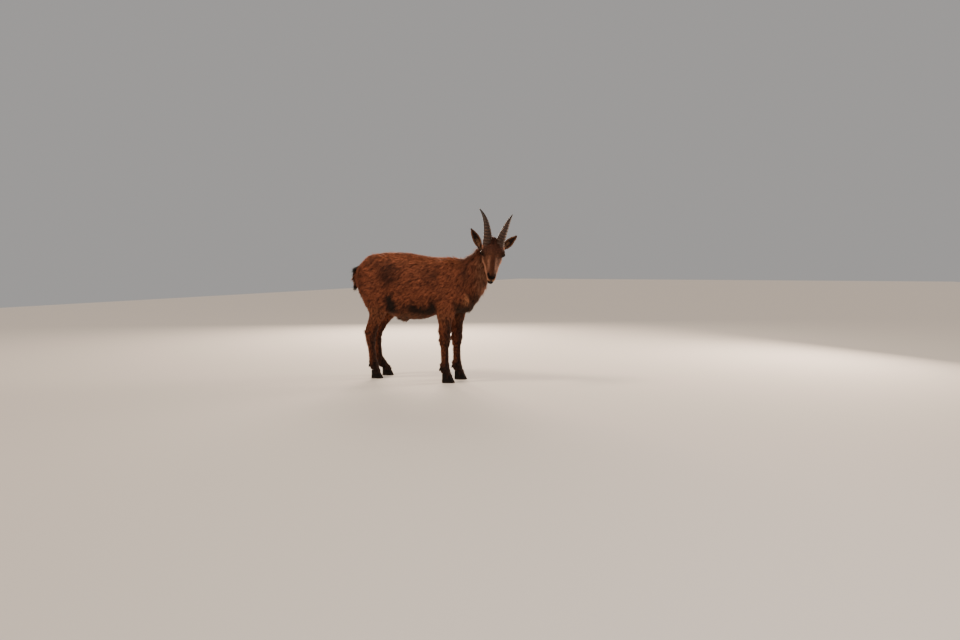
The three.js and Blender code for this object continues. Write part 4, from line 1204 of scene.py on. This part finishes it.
def tuftArrays(root, normal, way, length, width, lift, tone, contrast):
    # The spine is root + way * length * share. It rises by length * lift * share^1.2 less 0.3 of it
    # at the tip, bends sideways and droops with share^2, and is drawn to its clump with share^1.5.
    across = np.cross(normal, way)
    gather = clumpCentres(root, coat["clump"])[0] - root
    gather -= (gather * normal).sum(1, keepdims=True) * normal
    reach = np.linalg.norm(gather, axis=1, keepdims=True)
    gather *= np.minimum(1, 0.5 * length[:, None] / np.maximum(reach, 1e-6)) * coat["gather"]
    curl = coat["curl"] * rng.normal(0, 1, len(root)) * length
    sink = np.minimum(coat["sink"] * length, 1.2)

    def spine(share):
        rise = length * lift * share ** 1.2 * (1.15 - 0.3 * share) - sink * (1 - share) ** 2
        down = np.array([0, 0, -coat["droop"]]) * (length * share ** 2)[:, None]
        aside = across * (curl * share ** 2)[:, None] + gather * share ** 1.5
        return root + way * (length * share)[:, None] + normal * rise[:, None] + aside + down
    points, facing = [], []
    for share, wide in ((0.0, 0.8), (0.52, 1.0)):
        middle, half = spine(share), (width * wide / 2)[:, None]
        points += [middle - across * half, middle + normal * half * 0.5, middle + across * half]
        facing += [normal - across * 0.55, normal, normal + across * 0.55]
    points.append(spine(1))
    facing.append(normal + way * 0.3)
    faces = (tuftFaces[None] + 7 * np.arange(len(root))[:, None, None]).reshape(-1, 3)
    shade = np.array([coat["rootShade"]] * 3 + [coat["middleShade"]] * 3 + [coat["tipShade"]])
    colours = (tone[:, None] * shade[None, :, None] ** contrast[:, None, None]).reshape(-1, 3)
    return np.stack(points, 1).reshape(-1, 3), faces, colours, unit(np.stack(facing, 1)).reshape(-1, 3)


def tuftMesh(name, arrays, spots):
    points, faces, colours, facing = tuftArrays(*arrays)
    points[:, 2] = np.maximum(points[:, 2], 3)
    corners = (spots[:, None] + tuftMap[None] * tuftPatch).reshape(-1, 2)
    print("coat:", name, len(faces), "triangles")
    return newMesh(name, points, faces, uv=corners[faces.ravel()], colours=colours, facing=facing)


# roots are spread evenly over the triangles of skin and lids, as close as the spacing of the place
rng = np.random.default_rng(7)
rooted = joinArrays([(flesh[0][0], triangleArrays(skinMesh)), *[arrays[:2] for arrays in lidSkins]])
corners = rooted[0][rooted[1]]
onLid = np.arange(len(corners)) >= len(triangleArrays(skinMesh))
cross = np.cross(corners[:, 1] - corners[:, 0], corners[:, 2] - corners[:, 0])
areas, facing = np.linalg.norm(cross, axis=1) / 2, unit(cross)
centres = corners.mean(1)
region, near = regionOf(centres)
rows = growth(centres, facing, near)
inHead = toHead(centres)
nostrils = [tube(mirrored(nostril, side), nostrilRadii)(inHead) for side in (1, -1)]
bare = (near[5] < 6) & (np.minimum(*nostrils) < 1.2) | (centres[:, 2] < coat["bareBelow"])
lidShort = np.ones(len(centres))
for side in (1, -1):
    centre, look, front, over = eyeFrame(side)
    offset = inHead - centre
    # size is about 1 where the lids end at the eye, and grows outwards
    size = np.hypot(offset @ front / 15, offset @ over / 11)
    close = (offset @ look > -24) & (offset @ look < 40) & (size < 2.4)
    bare |= close & np.where(onLid, (size < 1.08) | (size > 1.5), size < 1.34)
    # in front of the eye and below it the hair is shortest
    shortest = mix(0.35, 0.75, np.maximum(ramp(4, -8, offset @ front), ramp(2, 10, offset @ over)))
    lidShort = np.where(close, np.minimum(lidShort, mix(shortest, 1, ramp(1.0, 2.0, size))), lidShort)
rows[:, 0] *= lidShort
wanted = areas / rows[:, 2] ** 2 * 1 * ~bare
pick = np.repeat(np.arange(len(centres)), np.floor(wanted + rng.random(len(centres))).astype(int))
a, b = rng.random(len(pick)), rng.random(len(pick))
a, b = np.where(a + b > 1, 1 - a, a)[:, None], np.where(a + b > 1, 1 - b, b)[:, None]
roots = corners[pick, 0] * (1 - a - b) + corners[pick, 1] * a + corners[pick, 2] * b
# the hair leans with the smooth form under it rather than with single faces
_, smoothFacing = slope(skinField, roots, 4.0)
onEye = (lidShort[pick] < 1)[:, None]
facing = unit(np.where(onEye, facing[pick], smoothFacing))
rows, near, region = rows[pick], near[:, pick], region[pick]
ways = coatLie(roots, facing, near)
_, clumpEdge = clumpCentres(roots, coat["clump"])
clumpEdge = ramp(0.3, 0.85, clumpEdge)
tight = ramp(-12, 12, near[0] - near[5]) * 0.6  # the face is even, the body shaggy
uneven = mix(0.32, 0.24, tight) * rng.normal(0, 1, len(roots))
tone = coatColour(roots, facing) * (1 + uneven)[:, None].clip(0.4, 1.9)
# painted light on the middle of each clump and painted shade at its edges, where the coat parts; less on
# the face
tone *= mix(mix(1.35, 0.5, clumpEdge), 1, tight)[:, None]
guard = rng.random(len(roots)) < coat["guardShare"] * (1 - tight)
length = rows[:, 0] * rng.uniform(0.7, 1.2, len(roots)) * mix(1.1, 0.8, clumpEdge) * np.where(guard, 1.2, 1)
width = rows[:, 1] * rng.uniform(0.7, 1.2, len(roots)) * np.where(guard, 0.6, 1)
lift = np.minimum(rows[:, 3] * rng.uniform(0.5, 1.6, len(roots)) * np.where(guard, 1.4, 1), 0.72)
tone *= np.where(guard, 1.4, 1)[:, None]
# pale hairs stand out behind the black tail
fringe = (region == 6) & (roots[:, 0] < -386) & (rng.random(len(roots)) < 0.45)
tone = np.where(fringe[:, None], tones["fringe"] * rng.uniform(0.8, 1.5, (len(roots), 1)), tone)
lift = np.where(fringe, rng.uniform(0.45, 0.85, len(roots)), lift)
length = np.where(fringe, np.minimum(length, 32), length)
print("coat: tufts", len(roots))


def unwrapped(p, part):
    # place on the skin opened out: the turn round the form and the way along it, both 0 to 1
    q = toHead(p)
    if part == "head":
        turn, along = np.arctan2(q[:, 1], q[:, 2] + 18), q[:, 0]
    elif part == "tail":
        turn, along = np.arctan2(p[:, 1], p[:, 0] + 383), p[:, 2]
    elif part in legNames:
        line = np.array(legLines[part])[::-1]
        middle = np.interp(p[:, 2], line[:, 2], line[:, 0])
        turn, along = np.arctan2(p[:, 1] - line[0, 1], p[:, 0] - middle), p[:, 2]
    else:
        turn, along = np.arctan2(p[:, 1], p[:, 2] - 540), p[:, 0]
    along = (along - along.min()) / (along.max() - along.min())
    return 0.01 + 0.98 * np.stack([0.5 + turn / (2 * math.pi), along], 1)


# pieces of even size, cut across the body and along the head
pieceSize = 19000


def cutPieces(name, chosen, along, part):
    count = math.ceil(chosen.sum() / pieceSize)
    edges = np.quantile(along[chosen], np.linspace(0, 1, count + 1))
    edges[0] -= 1
    for i in range(count):
        label = name if count == 1 else f"{name}_{i + 1}"
        yield label, chosen & (along > edges[i]) & (along <= edges[i + 1]), part


pieces = list(cutPieces("coat_body", region == 0, roots[:, 0], "body"))
for i, legName in enumerate(legNames):
    pieces += cutPieces("coat_" + legName, region == i + 1, roots[:, 2], legName)
pieces += cutPieces("coat_head", region == 5, toHead(roots)[:, 0], "head")
pieces += cutPieces("coat_tail", region == 6, roots[:, 2], "tail")
coats = []
for name, chosen, part in pieces:
    arrays = [a[chosen] for a in (roots, facing, ways, length, width, lift, tone, 1 - tight * 0.75)]
    coats.append(tuftMesh(name, arrays, unwrapped(roots[chosen], part)))


# hair of the ears, from base to tip on the back, along the rim and thinly inside
def earHair(name):
    *_, out, across = earFrame(name)
    count = 4600
    s, u = rng.uniform(-0.28, 0.97, count), rng.uniform(-1, 1, count)
    inside, rim = rng.random(count) < 0.4, rng.random(count) < 0.2
    u = np.where(rim, np.sign(u) * rng.uniform(0.9, 1.0, count), u)

    def place(further, aside):
        cup = earSurface(name, s + further, 0.96 * u + aside, -1, 1.0)
        return np.where(inside[:, None], cup, earSurface(name, s + further, u + aside, 1))
    start = place(0, 0)
    way = unit(place(0.02, 0) - start)
    normal = unit(np.cross(way, unit(place(0, 0.02) - start)))
    normal *= np.sign((normal * out).sum(1) * np.where(inside, 1, -1))[:, None]
    turn = np.sign(u) * np.where(rim, 0.3, np.where(inside, -0.35, 0.0))
    way = unit(way + across * turn[:, None] + 0.12 * rng.normal(0, 1, start.shape))
    way = unit(way - (way * normal).sum(1, keepdims=True) * normal)
    long = np.where(rim, 7, np.where(inside, 10, 6.5)) * rng.uniform(0.7, 1.25, count)
    wide = np.where(rim, 0.9, 1.2) * rng.uniform(0.8, 1.2, count)
    stand = np.where(inside, 0.24, 0.12) * rng.uniform(0.6, 1.4, count)
    colour = earColour(inside * 1.0, s, np.abs(u)) * rng.uniform(0.75, 1.35, count)[:, None]
    spots = 0.01 + 0.98 * np.stack([(u + 1) / 4 + inside * 0.5, (s + 0.28) / 1.25], 1)
    normal, way = normal @ headTurn.T, way @ headTurn.T
    arrays = fromHead(start), normal, way, long, wide, stand, colour, np.ones(count)
    return tuftMesh("coat_ear_" + name, arrays, spots)


coats += [earHair(name) for name in earPlace]
print("coat: triangles", sum(len(c.data.polygons) for c in coats))

fleshNodes = ["torso", "neck", "tail", "head", "lower_jaw", "ear_left", "ear_right"]
for legName in legNames:
    upper = ("arm", "forearm") if "fore" in legName else ("thigh", "gaskin")
    fleshNodes += [legName + "_" + bone for bone in (*upper, "shank", "pastern")]
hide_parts(*fleshNodes)

# materials
finish = {
    # roughness, gloss, scale and strength of the mottling, and the bumps' scale, height and strength
    "hair": (0.7, 0.18, 90, 0.6),
    "skin": (0.75, 0.08, 160, 0.5, 900, 0.0006, 0.8),
    "horn": (0.55, 0.3, 130, 0.7, 420, 0.0006, 0.6),
    "hoof": (0.75, 0.12, 120, 0.7, 350, 0.0005, 0.6),
}


def addNode(nodes, kind, values={}, **settings):
    node = nodes.new("ShaderNode" + kind)
    for key, value in settings.items():
        setattr(node, key, value)
    for key, value in values.items():
        node.inputs[key].default_value = value
    return node


def newMaterial(name, values):
    material = bpy.data.materials.new(name)
    material.use_nodes = True
    tree = material.node_tree
    shader = tree.nodes["Principled BSDF"]
    for key, value in values.items():
        shader.inputs[key].default_value = value
    return material, tree.nodes, tree.links, shader


def mottleGroup():
    # colour * (1 + strength * (noise - 0.5))
    group = bpy.data.node_groups.new("mottle", "ShaderNodeTree")
    for name, kind, way in (
        ("Color", "Color", "INPUT"), ("Scale", "Float", "INPUT"),
        ("Strength", "Float", "INPUT"), ("Color", "Color", "OUTPUT"),
    ):
        group.interface.new_socket(name, in_out=way, socket_type="NodeSocket" + kind)
    nodes, links = group.nodes, group.links
    start, end = nodes.new("NodeGroupInput"), nodes.new("NodeGroupOutput")
    place = addNode(nodes, "TexCoord")
    speckle = addNode(nodes, "TexNoise", {"Detail": 4})
    centred = addNode(nodes, "Math", {1: 0.5}, operation="SUBTRACT")
    factor = addNode(nodes, "Math", {2: 1.0}, operation="MULTIPLY_ADD")
    scaled = addNode(nodes, "VectorMath", operation="SCALE")
    links.new(place.outputs["Object"], speckle.inputs["Vector"])
    links.new(start.outputs["Scale"], speckle.inputs["Scale"])
    links.new(speckle.outputs["Fac"], centred.inputs[0])
    links.new(centred.outputs[0], factor.inputs[0])
    links.new(start.outputs["Strength"], factor.inputs[1])
    links.new(start.outputs["Color"], scaled.inputs[0])
    links.new(factor.outputs[0], scaled.inputs["Scale"])
    links.new(scaled.outputs[0], end.inputs["Color"])
    return group


mottle = mottleGroup()


def colouredMaterial(name):
    # the mesh's own colours, mottled, and fine bumps where the table gives them
    roughness, gloss, scale, strength, *bumps = finish[name]
    values = {"Roughness": roughness, "Specular IOR Level": gloss}
    material, nodes, links, shader = newMaterial(name, values)
    own = addNode(nodes, "Attribute", attribute_name="hair")
    group = addNode(nodes, "Group", {"Scale": scale, "Strength": strength}, node_tree=mottle)
    links.new(own.outputs["Color"], group.inputs["Color"])
    links.new(group.outputs["Color"], shader.inputs["Base Color"])
    if bumps:
        bumpScale, height, bumpStrength = bumps
        place = addNode(nodes, "TexCoord")
        speckle = addNode(nodes, "TexNoise", {"Scale": bumpScale, "Detail": 3})
        bump = addNode(nodes, "Bump", {"Distance": height, "Strength": bumpStrength})
        links.new(place.outputs["Object"], speckle.inputs["Vector"])
        links.new(speckle.outputs["Fac"], bump.inputs["Height"])
        links.new(bump.outputs["Normal"], shader.inputs["Normal"])
    return material


hairMaterial, skinMaterial, hornMaterial, hoofMaterial = (colouredMaterial(name) for name in finish)

# eye: ovals on its map, each inside the one before it, down to the level pupil
eyeFinish = {
    "outside": (0.010, 0.006, 0.004),
    # half axes across and up, the soft share of the edge, and the colour inside
    "ovals": [
        (0.78, 0.78, 0.05, (0.008, 0.0035, 0.0015)),
        (0.56, 0.56, 0.3, (0.030, 0.013, 0.004)),
        (0.42, 0.19, 0.12, (0.001, 0.001, 0.001)),
    ],
    "shader": {"Roughness": 0.26, "Specular IOR Level": 0.1, "Coat Weight": 0.05, "Coat Roughness": 0.03},
}
eyeMaterial, nodes, links, shader = newMaterial("eye", eyeFinish["shader"])
eyeMap = addNode(nodes, "UVMap", uv_map="eyeMap")
outer = None
for across, up, soft, colour in eyeFinish["ovals"]:
    scaled = addNode(nodes, "VectorMath", {1: (across, up, 1)}, operation="DIVIDE")
    size = addNode(nodes, "VectorMath", operation="LENGTH")
    mask = addNode(nodes, "MapRange", {"From Min": 1 + soft, "From Max": 1 - soft})
    mixed = addNode(nodes, "Mix", {"A": (*eyeFinish["outside"], 1), "B": (*colour, 1)}, data_type="RGBA")
    links.new(eyeMap.outputs["UV"], scaled.inputs[0])
    links.new(scaled.outputs[0], size.inputs[0])
    links.new(size.outputs["Value"], mask.inputs["Value"])
    links.new(mask.outputs["Result"], mixed.inputs["Factor"])
    if outer:
        links.new(outer, mixed.inputs["A"])
    outer = mixed.outputs["Result"]
links.new(outer, shader.inputs["Base Color"])

for piece, material, slotName in (
    (skin, skinMaterial, "coat"),
    *((c, hairMaterial, "dark_coat" if "tail" in c.name else "coat") for c in coats),
    *((h, hornMaterial, "horn") for h in horns),
    *((h, hoofMaterial, "hoof") for h in hooves),
    *((e, eyeMaterial, "eye") for e in eyes),
):
    piece.data.materials.append(material)
    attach(piece, "root")

# floor and lights
floorPoints = np.array([[-9000, -9000, 0], [9000, -9000, 0], [9000, 30000, 0], [-9000, 30000, 0]], float)
floor = newMesh("floor", floorPoints, np.array([[0, 1, 2, 3]]), smooth=False)
floorFinish = {"Base Color": (*light["floorColour"], 1), "Roughness": 0.9}
floor.data.materials.append(newMaterial("floor", floorFinish)[0])
floor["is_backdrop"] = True

world = bpy.data.worlds.new("sky")
bpy.context.scene.world = world
world.use_nodes = True
sky = world.node_tree.nodes["Background"].inputs
sky["Color"].default_value = (*light["skyColour"], 1)
sky["Strength"].default_value = light["skyStrength"]
for name in ("sun", "fill", "rim", "edge"):
    kind, place, power, colour, size = light[name]
    data = bpy.data.lights.new(name, kind)
    data.energy, data.color = power, colour
    if kind == "SUN":
        data.angle = math.radians(size)
    else:
        data.size = size
    lamp = bpy.data.objects.new(name, data)
    bpy.context.collection.objects.link(lamp)
    lamp.location = place
    lamp.rotation_euler = (Vector(place) - Vector(light["aim"])).to_track_quat("Z", "Y").to_euler()
print("stage: floor and lights")

low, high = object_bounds()
for label, ends in (("cad", (*cadLow, *cadHigh)), ("shown", (*low, *high))):
    print("bounds:", label, [round(v, 3) for v in ends])
